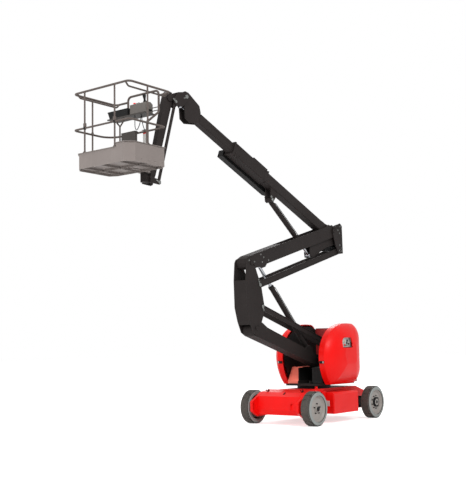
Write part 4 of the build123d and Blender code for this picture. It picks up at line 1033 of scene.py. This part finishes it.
class LIFT_OT_arm_fittings(bpy.types.Operator):
    """Add the bolts of the arms, the head and the sleeve"""

    bl_idname = "lift.arm_fittings"
    bl_label = "Arm fittings"

    def execute(self, context):
        head = pivot("head_level")
        knuckle = pivot("knuckle_level")
        # name, body, outer face, bolt height, steps from the pivot
        table = (
            # low heads, which pass inside the counterweight's slot when the arms are down
            ("head_bolts", "head", head, PLATE_FACE, 0.004, (
                (-0.268, 0.122), (-0.150, 0.028), (-0.208, -0.026), (-0.230, 0.101),
                (-0.290, 0.060), (-0.205, -0.262), (-0.260, -0.372))),
            ("knuckle_bolts", "knuckle", knuckle, PLATE_FACE, 0.008, (
                (-0.196, 0.330), (-0.214, 0.392), (-0.120, 0.740),
                (-0.080, 0.830), (0.030, 1.130), (0.180, 1.148))),
        )
        for name, body, place, face, height, steps in table:
            for side in (1, -1):
                places = [place + Vector((x, side * face, z)) for x, z in steps]
                label = name + ("_left" if side > 0 else "_right")
                bolts(label, places, (0, side, 0), body, "chrome_rod", 0.011, height, material=finish("plated"))
        # upper arm: bolts near the knuckle
        pin = pivot("upper_arm_lift")
        along = (pin - head).normalized()
        up = along.cross(Vector((0, 1, 0))) * -1
        for side in (1, -1):
            label = "_left" if side > 0 else "_right"
            places = [pin + along * a + up * u + Vector((0, side * 0.110, 0)) for a, u in (
                (-0.330, 0.060), (-0.330, -0.075), (-0.395, -0.010), (0.050, 0.052), (0.062, -0.030), (-0.520, 0.070))]
            bolts("upper_arm_bolts" + label, places, (0, side, 0), "upper_arm", "chrome_rod", 0.011, 0.008,
                  material=finish("plated"))
        # sleeve: bolts of the wear pads at its front collar and rear flange
        run = axis_of("telescope_slide")
        base = pivot("boom_lift")
        rise = run.cross(Vector((0, 1, 0))) * -1
        places = {"left": [], "right": []}
        for label, side in (("left", 1), ("right", -1)):
            for a in (2.950, 2.850, 2.085):
                for u in (-0.070, 0.070):
                    places[label].append(base + run * a + rise * u + Vector((0, side * 0.0962, 0)))
            bolts("sleeve_bolts_" + label, places[label], (0, side, 0), "boom_base", "charcoal_paint", 0.010, 0.008)
        tops = [base + run * a + rise * 0.1102 + Vector((0, y, 0)) for a in (2.950, 2.860) for y in (-0.06, 0.06)]
        bolts("sleeve_bolts_top", tops, rise, "boom_base", "charcoal_paint", 0.010, 0.008)
        # rubber curtain round the boom's tail
        sheet = curtain("boom_tail_curtain", base, run, rise, 0.112, 0.004, 0.074, 96, 196)
        dress(sheet, "boom_base", "black_plastic", smooth=50.0)
        # guide ring at the front end of the hose tray
        low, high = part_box("hose_tray")
        tip = base + run * 3.060 + rise * -0.090
        tip.y = (low.y + high.y) / 2
        ring = bent_ring("tray_guide_ring", 0.034, 0.0055)
        ring.data.transform(Matrix.Translation(tip) @ facing_out((0, 1, 0)))
        stalk = block("stalk", (-0.034, -0.004, -0.012), (-0.072, 0.004, 0.012), 0.002)
        across = Vector((0, 1, 0))
        turn = Matrix((run, across, run.cross(across))).transposed().to_4x4()
        stalk.data.transform(Matrix.Translation(tip) @ turn)
        dress(join([ring, stalk], "tray_guide_ring"), "boom_base", "black_plastic")
        return {"FINISHED"}


class LIFT_OT_head_valves(bpy.types.Operator):
    """Set the valve block with its ports between the head's plates"""

    bl_idname = "lift.head_valves"
    bl_label = "Head valves"

    def execute(self, context):
        pin = pivot("head_level")
        body = block("body", pin + Vector((-0.285, -0.048, -0.395)), pin + Vector((0.195, 0.048, -0.235)), 0.008)
        enter_edit(body)
        pick(body, lambda f: abs(f.normal.y) > 0.9)
        bpy.ops.mesh.inset(thickness=0.018, depth=-0.006)
        leave_edit()
        ports = [body]
        for x in (-0.22, -0.12, -0.02, 0.08):
            port = turned("port", ((0.0, 0.024), (0.010, 0.024), (0.016, 0.018), (0.018, 0.008), (0.018, -0.006)))
            port.data.transform(Matrix.Translation(pin + Vector((x, 0.044, -0.315))) @ facing_out((0, 1, 0)))
            ports.append(port)
        dress(join(ports, "head_valve_block"), "head", "black_cast")
        return {"FINISHED"}


class LIFT_OT_energy_chain(bpy.types.Operator):
    """Lay the energy chain in its trough beside the boom"""

    bl_idname = "lift.energy_chain"
    bl_label = "Energy chain"

    def execute(self, context):
        pitch = sizes().chain_pitch
        base = pivot("boom_lift")
        run = axis_of("telescope_slide")
        across = Vector((0, 1, 0))
        rise = run.cross(across) * -1
        low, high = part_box("hose_tray")
        middle = (low.y + high.y) / 2 - 0.006
        link = chain_link(pitch)
        copies = []
        for k in range(int(1.22 / pitch)):
            place = base + run * (1.740 + k * pitch) + rise * -0.118
            place.y = middle
            basis = Matrix((run, across, rise)).transposed().to_4x4()
            copies.append(copied(link, "link", Matrix.Translation(place) @ basis))
        bpy.data.objects.remove(link)
        dress(join(copies, "energy_chain"), "boom_base", "black_plastic")
        return {"FINISHED"}


class LIFT_OT_cylinder_fittings(bpy.types.Operator):
    """Add glands, port blocks, pressure lines and guarded hoses to the cylinders"""

    bl_idname = "lift.cylinder_fittings"
    bl_label = "Cylinder fittings"

    def execute(self, context):
        # name, swing joint, slide joint, body, barrel radius, rod radius, barrel length, side of the line
        table = (
            ("riser", "riser_cylinder_swing", "riser_rod_slide", "riser_barrel", 0.046, 0.030, 1.560, 1),
            ("boom_lift", "boom_cylinder_swing", "boom_rod_slide", "boom_lift_barrel", 0.044, 0.026, 1.110, -1),
            ("level", "level_cylinder_swing", "level_rod_slide", "level_barrel", 0.024, 0.013, 0.420, 1),
            ("jib", "jib_cylinder_swing", "jib_rod_slide", "jib_barrel", 0.020, 0.011, 0.360, -1),
        )
        for name, swing, slide, body, radius, rod, span_length, side in table:
            along = axis_of(slide)
            across = Vector((0, 1, 0))
            frame_turn = Matrix((along, across, along.cross(across))).transposed().to_4x4()
            place = Matrix.Translation(pivot(swing)) @ frame_turn
            gland = turned(
                "gland",
                ((radius - 0.004, 0.0), (radius - 0.004, 0.008), (rod + 0.010, 0.012), (rod + 0.004, 0.018),
                 (rod + 0.001, 0.018)),
                open_ends=True,
            )
            gland.data.transform(Matrix.Translation((span_length - 0.0005, 0, 0)) @ facing_out((1, 0, 0)))
            reach = side * (radius + 0.010)
            parts = [gland]
            start = 0.16 if radius > 0.03 else 0.07
            end = span_length - start * 0.55
            for at in (start, end):
                size = 0.5 * min(0.030, radius)
                low = (at - size, -size, side * (radius - 0.006))
                high = (at + size, size, side * (radius + 0.022))
                parts.append(block("port", low, high, 0.003))
                middle = (at, size + 0.008, side * (radius + 0.009))
                parts.append(drum("union", middle, size * 0.55, 0.018, (0, 1, 0), 6, 0.001))
            for piece in parts:
                piece.data.transform(place)
            dress(join(parts, name + "_gland_and_ports"), body, "black_cast")
            line = [(x, 0.030, reach) for x in (start, start + 0.03, end - 0.03, end)]
            if radius > 0.03:
                hose(name + "_pressure_line", [place @ Vector(p) for p in line], 0.005, body, "black_cast", 8)
                offset = side * (radius + 0.014)
                guard = guarded_hose(name + "_guarded_hose", start + 0.05, span_length * 0.86, offset, 0.012)
                guard.data.transform(place)
                dress(guard, body, "black_plastic", smooth=50.0)
        return {"FINISHED"}


class LIFT_OT_hood_fittings(bpy.types.Operator):
    """Add the latches, the dark power pack in the turret, a black sheet of painted shade on the cover's flank, and the
    face of the ground controls
    """

    bl_idname = "lift.hood_fittings"
    bl_label = "Hood fittings"

    def execute(self, context):
        for name, side in (("left", 1), ("right", -1)):
            low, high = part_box("hood_" + name)
            inner = min(abs(low.y), abs(high.y))
            front = high.x
            lock = block("latch", (front - 0.016, 0.010, 1.060), (front + 0.007, 0.112, 1.106), 0.005)
            enter_edit(lock)
            pick(lock, lambda f: f.normal.x > 0.9)
            bpy.ops.mesh.inset(thickness=0.005, depth=-0.004)
            leave_edit()
            tab = block("tab", (front - 0.004, 0.084, 1.066), (front + 0.009, 0.104, 1.100), 0.003)
            for piece in (lock, tab):
                piece.data.transform(Matrix.Translation((0, inner, 0)))
                if side < 0:
                    mirror_across(piece)
            dress(lock, "hood_" + name, "black_plastic").name = "latch_" + name
            dress(tab, "hood_" + name, "chrome_rod", finish("pale_panel")).name = "latch_tab_" + name
        # power pack on the left of the arm, and a thin black sheet on the flank of the cover on its right: painted
        # shade
        pack = block("power_pack", (-0.345, 0.150, 0.691), (0.290, 0.372, 0.985), 0.014)
        enter_edit(pack)
        pick(pack, lambda f: f.normal.x > 0.9)
        bpy.ops.mesh.inset(thickness=0.030, depth=-0.012)
        pick(pack, lambda f: f.normal.z > 0.9 and f.calc_area() > 0.02)
        bpy.ops.mesh.inset(thickness=0.035, depth=0.010)
        leave_edit()
        dress(pack, "turret", "black_plastic")
        # black sheet on the cover's side that faces the arm: painted shade where that side lies in shadow
        flank = block("cover_flank", (-0.345, -0.1445, 0.692), (0.296, -0.132, 0.978), 0.004)
        enter_edit(flank)
        pick(flank, lambda f: f.normal.y > 0.9)
        bpy.ops.mesh.inset(thickness=0.025, depth=-0.004)
        leave_edit()
        dress(flank, "turret", "black_plastic")
        # face of the ground controls
        low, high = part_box("ground_controls")
        face = high.y

        def at(x, z, out=0.0):
            return (low.x + x * (high.x - low.x), face + out, low.z + z * (high.z - low.z))

        plate = block("ground_panel_face", at(-0.34, -0.02, 0.001), at(1.03, 1.08, 0.014), 0.004)
        enter_edit(plate)
        pick(plate, lambda f: f.normal.y > 0.9 and f.calc_area() > 0.005)
        bpy.ops.mesh.inset(thickness=0.010, depth=-0.002)
        leave_edit()
        dress(plate, "turret", "panel_grey", finish("pale_panel"))
        # x and z as shares of the panel, radius, height, finish
        knobs = (
            ("stop_button", 0.80, 0.24, 0.019, 0.018, "signal_red"),
            ("boot_high", 0.80, 0.66, 0.008, 0.016, "signal_yellow"),
            ("boot_low", 0.86, 0.48, 0.007, 0.014, "signal_green"),
            ("key_switch", 0.50, 0.46, 0.020, 0.014, "black_plastic"),
            ("gauge", 0.44, 0.70, 0.022, 0.010, "black_plastic"),
            ("selector", 0.30, 0.36, 0.015, 0.016, "black_plastic"),
            ("button_a", 0.62, 0.22, 0.010, 0.010, "black_plastic"),
            ("button_b", 0.48, 0.20, 0.010, 0.010, "signal_green"),
        )
        for label, x, z, radius, height, kind in knobs:
            knob = turned("knob", ((0.0, height), (radius * 0.62, height), (radius * 0.9, height * 0.8),
                                   (radius, height * 0.5), (radius, height * 0.35), (radius * 0.7, height * 0.28),
                                   (radius * 0.7, -0.003)))
            knob.data.transform(Matrix.Translation(at(x - 0.22, z, 0.012)) @ facing_out((0, 1, 0)))
            dress(knob, "turret", "black_plastic", finish(kind)).name = "ground_" + label
        return {"FINISHED"}


class LIFT_OT_chassis_fittings(bpy.types.Operator):
    """Add the hooks, slot, post, guards and blank plates of the chassis"""

    bl_idname = "lift.chassis_fittings"
    bl_label = "Chassis fittings"

    def execute(self, context):
        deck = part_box("chassis_frame")[1].z
        for label, side in (("left", 1), ("right", -1)):
            hook = block("hook", (-0.030, -0.009, 0.0), (0.030, 0.009, 0.016), 0.003)
            enter_edit(hook)
            pick(hook, lambda f: f.normal.x > 0.9)
            bpy.ops.mesh.extrude_region_move(TRANSFORM_OT_translate={"value": (0.016, 0, 0.012)})
            bpy.ops.mesh.extrude_region_move(TRANSFORM_OT_translate={"value": (0.004, 0, 0.020)})
            leave_edit()
            loop = bent_ring("loop", 0.017, 0.005)
            loop.data.transform(Matrix.Translation((-0.012, 0, 0.026)) @ facing_out((0, 1, 0)))
            hook = join([hook, loop], "tie_hook_" + label)
            lean = Matrix.Rotation(math.radians(8), 4, "Y")
            hook.data.transform(Matrix.Translation((0.930, side * 0.372, 0.575)) @ lean)
            dress(hook, "chassis", "black_cast")
        slot = block("panel_slot", (-0.034, -0.011, -0.004), (0.034, 0.011, 0.004), 0.003)
        enter_edit(slot)
        pick(slot, lambda f: f.normal.z > 0.9)
        bpy.ops.mesh.inset(thickness=0.004, depth=-0.003)
        leave_edit()
        slot.data.transform(Matrix.Translation((1.030, 0.05, 0.548)) @ Matrix.Rotation(math.radians(34), 4, "Y"))
        dress(slot, "chassis", "black_plastic")
        post = turned("deck_post", ((0.0, 0.072), (0.020, 0.072), (0.024, 0.066), (0.024, 0.014), (0.034, 0.008),
                                    (0.034, -0.002)))
        post.data.transform(Matrix.Translation((0.370, 0.292, deck)))
        dress(post, "chassis", "red_paint")
        # guards over the inner edge of the front tyres and brackets at the ends of the side boxes
        box_low, box_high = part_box("side_boxes")
        for label, side in (("left", 1), ("right", -1)):
            guard = block("guard", (0.690, 0.462, 0.560), (0.845, 0.566, 0.572), 0.003)
            enter_edit(guard)
            pick(guard, lambda f: f.normal.x < -0.9)
            bpy.ops.mesh.extrude_region_move(TRANSFORM_OT_translate={"value": (-0.050, 0, -0.060)})
            leave_edit()
            arm = block("arm", (box_high.x, 0.430, 0.470), (box_high.x + 0.075, 0.462, 0.530), 0.004)
            lug = block("lug", (box_high.x + 0.030, 0.462, 0.440), (box_high.x + 0.075, 0.500, 0.560), 0.006)
            rear = block("rear", (box_low.x - 0.085, 0.420, 0.470), (box_low.x, 0.560, 0.485), 0.004)
            stay = block("stay", (box_low.x - 0.060, 0.470, 0.330), (box_low.x, 0.486, 0.474), 0.004)
            parts = [guard, arm, lug, rear, stay]
            piece = join(parts, "guards_and_brackets_" + label)
            if side < 0:
                mirror_across(piece)
            dress(piece, "chassis", "red_paint")
            face = box_high.x
            plate = block("blank_plate_" + label, (face + 0.0008, 0.470, 0.300), (face + 0.0045, 0.560, 0.395), 0.0015)
            if side < 0:
                mirror_across(plate)
            dress(plate, "chassis", "panel_grey", finish("pale_panel"))
        # angle on the front panel, low at its left end
        angle = block("angle", (1.108, 0.250, 0.250), (1.150, 0.262, 0.372), 0.003)
        enter_edit(angle)
        pick(angle, lambda f: f.normal.z > 0.9)
        bpy.ops.mesh.extrude_region_move(TRANSFORM_OT_translate={"value": (0, 0.030, 0.012)})
        leave_edit()
        dress(angle, "chassis", "red_paint").name = "front_angle"
        places = [(1.1255, y, 0.292) for y in (-0.30, -0.12, 0.08, 0.24)]
        bolts("front_panel_bolts", places, (1, 0, 0.1), "chassis", "red_paint", 0.008, 0.006)
        return {"FINISHED"}


class LIFT_OT_platform_controls(bpy.types.Operator):
    """Add the joystick, switches, blank plate and small fittings of the platform"""

    bl_idname = "lift.platform_controls"
    bl_label = "Platform controls"

    def execute(self, context):
        low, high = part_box("control_box")
        top = high.z

        def on_top(x, y, drop=0.0):
            """Place on the sloped top: x ahead of the box's back, y from its right side."""
            fall = 0.012 * max(0.0, min(1.0, (x - 0.05) / 0.10))
            return Vector((low.x + x, low.y + y, top - fall - drop))

        up = facing_out((0.12, 0, 1))
        boot = turned("boot", ((0.010, 0.048), (0.017, 0.044), (0.014, 0.037), (0.024, 0.031), (0.020, 0.024),
                               (0.031, 0.017), (0.027, 0.010), (0.038, 0.004), (0.038, -0.004)))
        grip = turned("grip", ((0.0, 0.138), (0.016, 0.136), (0.025, 0.126), (0.027, 0.108), (0.023, 0.086),
                               (0.018, 0.066), (0.016, 0.036)))
        stick = join([boot, grip], "joystick")
        stick.data.transform(Matrix.Translation(on_top(0.080, 0.245)) @ up)
        dress(stick, "platform", "black_plastic", smooth=50.0)
        # name, x, y, radius, height, finish
        knobs = (
            ("stop_button", 0.095, 0.045, 0.022, 0.032, "signal_red"),
            ("key_switch", 0.060, 0.095, 0.013, 0.018, "plated"),
            ("selector_a", 0.110, 0.110, 0.011, 0.020, "black_plastic"),
            ("selector_b", 0.110, 0.150, 0.011, 0.020, "black_plastic"),
            ("button_a", 0.060, 0.140, 0.009, 0.010, "signal_yellow"),
            ("button_b", 0.060, 0.175, 0.009, 0.010, "signal_green"),
            ("dial", 0.110, 0.300, 0.016, 0.018, "black_plastic"),
        )
        for label, x, y, radius, height, kind in knobs:
            knob = turned("knob", ((0.0, height), (radius * 0.62, height), (radius * 0.92, height * 0.86),
                                   (radius, height * 0.66), (radius * 0.94, height * 0.50),
                                   (radius * 0.5, height * 0.42), (radius * 0.5, height * 0.15),
                                   (radius * 0.8, height * 0.12), (radius * 0.8, -0.003)))
            knob.data.transform(Matrix.Translation(on_top(x, y)) @ up)
            dress(knob, "platform", "black_plastic", finish(kind)).name = "platform_" + label
        # cable glands low on the left flank of the box
        glands = []
        for x in (0.045, 0.075):
            gland = turned("gland", ((0.006, 0.030), (0.010, 0.028), (0.010, 0.012), (0.014, 0.010), (0.014, -0.002)))
            gland.data.transform(Matrix.Translation((low.x + x, high.y, low.z + 0.040)) @ facing_out((0, 1, 0)))
            glands.append(gland)
        dress(join(glands, "cable_glands"), "platform", "black_plastic")
        # blank plate that hangs on the mid rail, with a red strip
        rail_x = 4.640
        plate = block("hanging_plate", (rail_x - 0.024, 0.098, 4.452), (rail_x - 0.020, 0.218, 4.642), 0.0015)
        enter_edit(plate)
        pick(plate, lambda f: f.normal.z > 0.9)
        bpy.ops.mesh.extrude_region_move(TRANSFORM_OT_translate={"value": (0.010, 0, 0.018)})
        bpy.ops.mesh.extrude_region_move(TRANSFORM_OT_translate={"value": (0.030, 0, 0.0)})
        leave_edit()
        dress(plate, "platform", "panel_grey", finish("pale_panel"))
        strip = block("hanging_plate_strip", (rail_x - 0.0255, 0.103, 4.606), (rail_x - 0.0185, 0.213, 4.634), 0.0008)
        dress(strip, "platform", "red_paint", finish("signal_red"))
        # collar at the entrance post and the side posts' joints with the mid rail
        rails_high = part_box("platform_rails")[1]
        entry_low, entry_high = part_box("entry_bar")
        mid = entry_low.z + 0.026
        collars = []
        post_x = rails_high.x - 0.016
        for y in (entry_low.y + 0.022, entry_high.y - 0.022):
            collars.append(turned_at("collar", ((POST_BORE, 0.022), (0.021, 0.020), (0.021, -0.020), (POST_BORE, -0.022)),
                                     (post_x, y, mid - 0.012), (0, 0, 1), True))
        dress(join(collars, "post_collars"), "platform", "black_plastic")
        clamps = []
        for side in (1, -1):
            clamps.append(turned_at("clamp", ((POST_BORE, 0.024), (0.019, 0.022), (0.019, -0.022), (POST_BORE, -0.024)),
                                    (SIDE_POST_X, side * SIDE_POST_Y, mid), (0, 0, 1), True))
        dress(join(clamps, "side_post_clamps"), "platform", "rail_paint")
        # feet of the posts
        tray_low, tray_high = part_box("platform_tray")
        feet = []
        for x, y, z in ((post_x, entry_high.y - 0.022, 4.270), (post_x, entry_low.y + 0.022, 4.270),
                        (SIDE_POST_X, SIDE_POST_Y, tray_high.z), (SIDE_POST_X, -SIDE_POST_Y, 4.270)):
            profile = ((POST_BORE, 0.014), (0.024, 0.010), (0.026, 0.001), (POST_BORE, 0.001))
            feet.append(turned_at("foot", profile, (x, y, z), (0, 0, 1), True))
        dress(join(feet, "post_feet"), "platform", "rail_paint")
        # rivets along the tray's flank
        rivets = [(x, tray_high.y - 0.012, z) for x in (4.72, 4.86, 5.00, 5.14, 5.25) for z in (4.092,)]
        bolts("tray_rivets_left", rivets, (0, 1, 0), "platform", "warm_grey", 0.006, 0.004)
        back = [(tray_low.x + 0.195, y, 4.110) for y in (-0.40, -0.20, 0.0, 0.20, 0.40)]
        bolts("tray_rivets_back", back, (-1, 0, 0), "platform", "warm_grey", 0.006, 0.004)
        # folded channel sections under the floor
        channels = []
        for y in (-0.36, 0.0, 0.36):
            rib = block("rib", (4.860, y - 0.045, 4.064), (5.330, y + 0.045, 4.079), 0.003)
            enter_edit(rib)
            pick(rib, lambda f: f.normal.z < -0.9 and f.calc_area() > 0.01)
            bpy.ops.mesh.inset(thickness=0.012)
            bpy.ops.mesh.extrude_region_move(TRANSFORM_OT_translate={"value": (0, 0, 0.009)})
            leave_edit()
            channels.append(rib)
        dress(join(channels, "floor_channels"), "platform", "warm_grey")
        return {"FINISHED"}


class LIFT_OT_cables(bpy.types.Operator):
    """Hang the two free cables under the control shelf"""

    bl_idname = "lift.cables"
    bl_label = "Cables"

    def execute(self, context):
        low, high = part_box("control_shelf")
        under = low.z + 0.008
        # name, diameter, length, points
        table = (
            ("shelf_cable_front", CABLE_WIDTH, CABLE_FRONT, (
                (4.668, -0.020, under), (4.668, -0.020, under - 0.075), (4.690, 0.000, under - 0.185),
                (4.700, 0.045, under - 0.250), (4.692, 0.090, under - 0.185), (4.672, 0.110, under - 0.075),
                (4.668, 0.110, under))),
            ("shelf_cable_back", CABLE_WIDTH, CABLE_BACK, (
                (4.580, 0.040, under), (4.580, 0.040, under - 0.070), (4.560, 0.060, under - 0.190),
                (4.552, 0.105, under - 0.260), (4.562, 0.150, under - 0.185), (4.580, 0.168, under - 0.070),
                (4.580, 0.168, under))),
        )
        for name, diameter, length, points in table:
            curve = bpy.data.curves.new(name, "CURVE")
            curve.dimensions = "3D"
            spline = curve.splines.new("NURBS")
            spline.points.add(len(points) - 1)
            for point, place in zip(spline.points, points):
                point.co = (*place, 1.0)
            spline.order_u = 3
            spline.use_endpoint_u = True
            spline.resolution_u = 12
            curve.bevel_depth = diameter / 2
            curve.bevel_resolution = 3
            curve.use_fill_caps = True
            cable = bpy.data.objects.new(name, curve)
            context.scene.collection.objects.link(cable)
            curve.materials.append(finish("black_plastic"))
            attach(cable, "platform")
        return {"FINISHED"}


class LIFT_OT_stage(bpy.types.Operator):
    """Build the pale floor, the soft lights and the camera"""

    bl_idname = "lift.stage"
    bl_label = "Stage"

    def execute(self, context):
        start_clean()
        bpy.ops.mesh.primitive_plane_add(size=120.0, location=(0, 0, cad_low.z - 0.0005))
        floor = bpy.context.object
        floor.name = "floor"
        floor.data.materials.append(pale_floor())

        world = bpy.data.worlds.new("Pale studio")
        context.scene.world = world
        world.use_nodes = True
        tree = world.node_tree
        tree.nodes.clear()
        output = tree.nodes.new("ShaderNodeOutputWorld")
        light = tree.nodes.new("ShaderNodeBackground")
        light.inputs["Color"].default_value = (1.0, 1.0, 1.0, 1.0)
        light.inputs["Strength"].default_value = 0.55
        seen = tree.nodes.new("ShaderNodeBackground")
        seen.inputs["Color"].default_value = (1.0, 1.0, 1.0, 1.0)
        seen.inputs["Strength"].default_value = 1.0
        path = tree.nodes.new("ShaderNodeLightPath")
        rays = maths(tree, "MAXIMUM", path.outputs["Is Camera Ray"], path.outputs["Is Glossy Ray"])
        rays = maths(tree, "MAXIMUM", rays, path.outputs["Is Transmission Ray"])
        mix = tree.nodes.new("ShaderNodeMixShader")
        tree.links.new(rays, mix.inputs[0])
        tree.links.new(light.outputs[0], mix.inputs[1])
        tree.links.new(seen.outputs[0], mix.inputs[2])
        tree.links.new(mix.outputs[0], output.inputs[0])

        lamps = (
            ("key", (7.0, 9.5, 11.0), (1.0, 0.0, 2.6), 5.0, 1150.0),
            ("fill", (12.0, -2.0, 5.0), (1.0, 0.0, 2.4), 6.0, 420.0),
            ("back", (-9.0, -6.0, 9.0), (0.5, 0.0, 2.5), 5.0, 520.0),
        )
        for name, place, aim, size, power in lamps:
            data = bpy.data.lights.new(name, "AREA")
            data.energy = power
            data.size = size
            lamp = bpy.data.objects.new(name, data)
            lamp.location = place
            lamp.rotation_euler = (Vector(aim) - Vector(place)).to_track_quat("-Z", "Y").to_euler()
            context.scene.collection.objects.link(lamp)

        yaw = math.radians(-141.608)
        pitch = math.radians(5.741)
        roll = math.radians(-0.9585)
        look = Vector((math.cos(yaw) * math.cos(pitch), math.sin(yaw) * math.cos(pitch), math.sin(pitch)))
        right = Vector((math.sin(yaw), -math.cos(yaw), 0.0))
        above = right.cross(look)
        side = math.cos(roll) * right + math.sin(roll) * above
        top = -math.sin(roll) * right + math.cos(roll) * above
        data = bpy.data.cameras.new("camera")
        data.lens = 66.129
        data.sensor_width = 36.0
        data.clip_end = 200.0
        camera = bpy.data.objects.new("camera", data)
        turn = Matrix((side, top, -look)).transposed()
        camera.matrix_world = Matrix.Translation((14.4396, 9.5721, 1.4657)) @ turn.to_4x4()
        context.scene.collection.objects.link(camera)
        context.scene.camera = camera
        context.scene.view_settings.view_transform = "Standard"
        return {"FINISHED"}


def pale_floor():
    """White to the eye, while it still takes the machine's shadow."""
    material = bpy.data.materials.new("Pale floor")
    material.use_nodes = True
    tree = material.node_tree
    tree.nodes.clear()
    output = tree.nodes.new("ShaderNodeOutputMaterial")
    cloth = tree.nodes.new("ShaderNodeBsdfDiffuse")
    cloth.inputs["Color"].default_value = (0.86, 0.86, 0.86, 1.0)
    glow = tree.nodes.new("ShaderNodeEmission")
    glow.inputs["Strength"].default_value = 0.62
    path = tree.nodes.new("ShaderNodeLightPath")
    add = tree.nodes.new("ShaderNodeAddShader")
    mix = tree.nodes.new("ShaderNodeMixShader")
    tree.links.new(cloth.outputs[0], add.inputs[0])
    tree.links.new(glow.outputs[0], add.inputs[1])
    rays = maths(tree, "MAXIMUM", path.outputs["Is Camera Ray"], path.outputs["Is Glossy Ray"])
    rays = maths(tree, "MAXIMUM", rays, path.outputs["Is Transmission Ray"])
    tree.links.new(rays, mix.inputs[0])
    tree.links.new(cloth.outputs[0], mix.inputs[1])
    tree.links.new(add.outputs[0], mix.inputs[2])
    tree.links.new(mix.outputs[0], output.inputs[0])
    return material


class LIFT_PT_panel(bpy.types.Panel):
    """Lists the pieces of the lift"""

    bl_idname = "LIFT_PT_panel"
    bl_label = "Boom lift"
    bl_space_type = "VIEW_3D"
    bl_region_type = "UI"
    bl_category = "Boom lift"

    def draw(self, context):
        for operator in operators:
            self.layout.operator(operator.bl_idname)
        for group in (colours(), sizes()):
            for label in group.__annotations__:
                self.layout.prop(group, label)


operators = (
    LIFT_OT_stage,
    LIFT_OT_cables,
    LIFT_OT_finishes,
    LIFT_OT_tyres,
    LIFT_OT_wheel_fittings,
    LIFT_OT_chassis_fittings,
    LIFT_OT_hood_fittings,
    LIFT_OT_pins,
    LIFT_OT_arm_fittings,
    LIFT_OT_head_valves,
    LIFT_OT_energy_chain,
    LIFT_OT_cylinder_fittings,
    LIFT_OT_platform_controls,
)
classes = (LiftColours, LiftSizes, *operators, LIFT_PT_panel)


def register():
    for cls in classes:
        bpy.utils.register_class(cls)
    bpy.types.Scene.lift_colours = bpy.props.PointerProperty(type=LiftColours)
    bpy.types.Scene.lift_sizes = bpy.props.PointerProperty(type=LiftSizes)


def unregister():
    del bpy.types.Scene.lift_sizes
    del bpy.types.Scene.lift_colours
    for cls in reversed(classes):
        bpy.utils.unregister_class(cls)


def main():
    register()
    for operator in operators:
        family, action = operator.bl_idname.split(".")
        getattr(getattr(bpy.ops, family), action)()


if __name__ == "__main__":
    main()
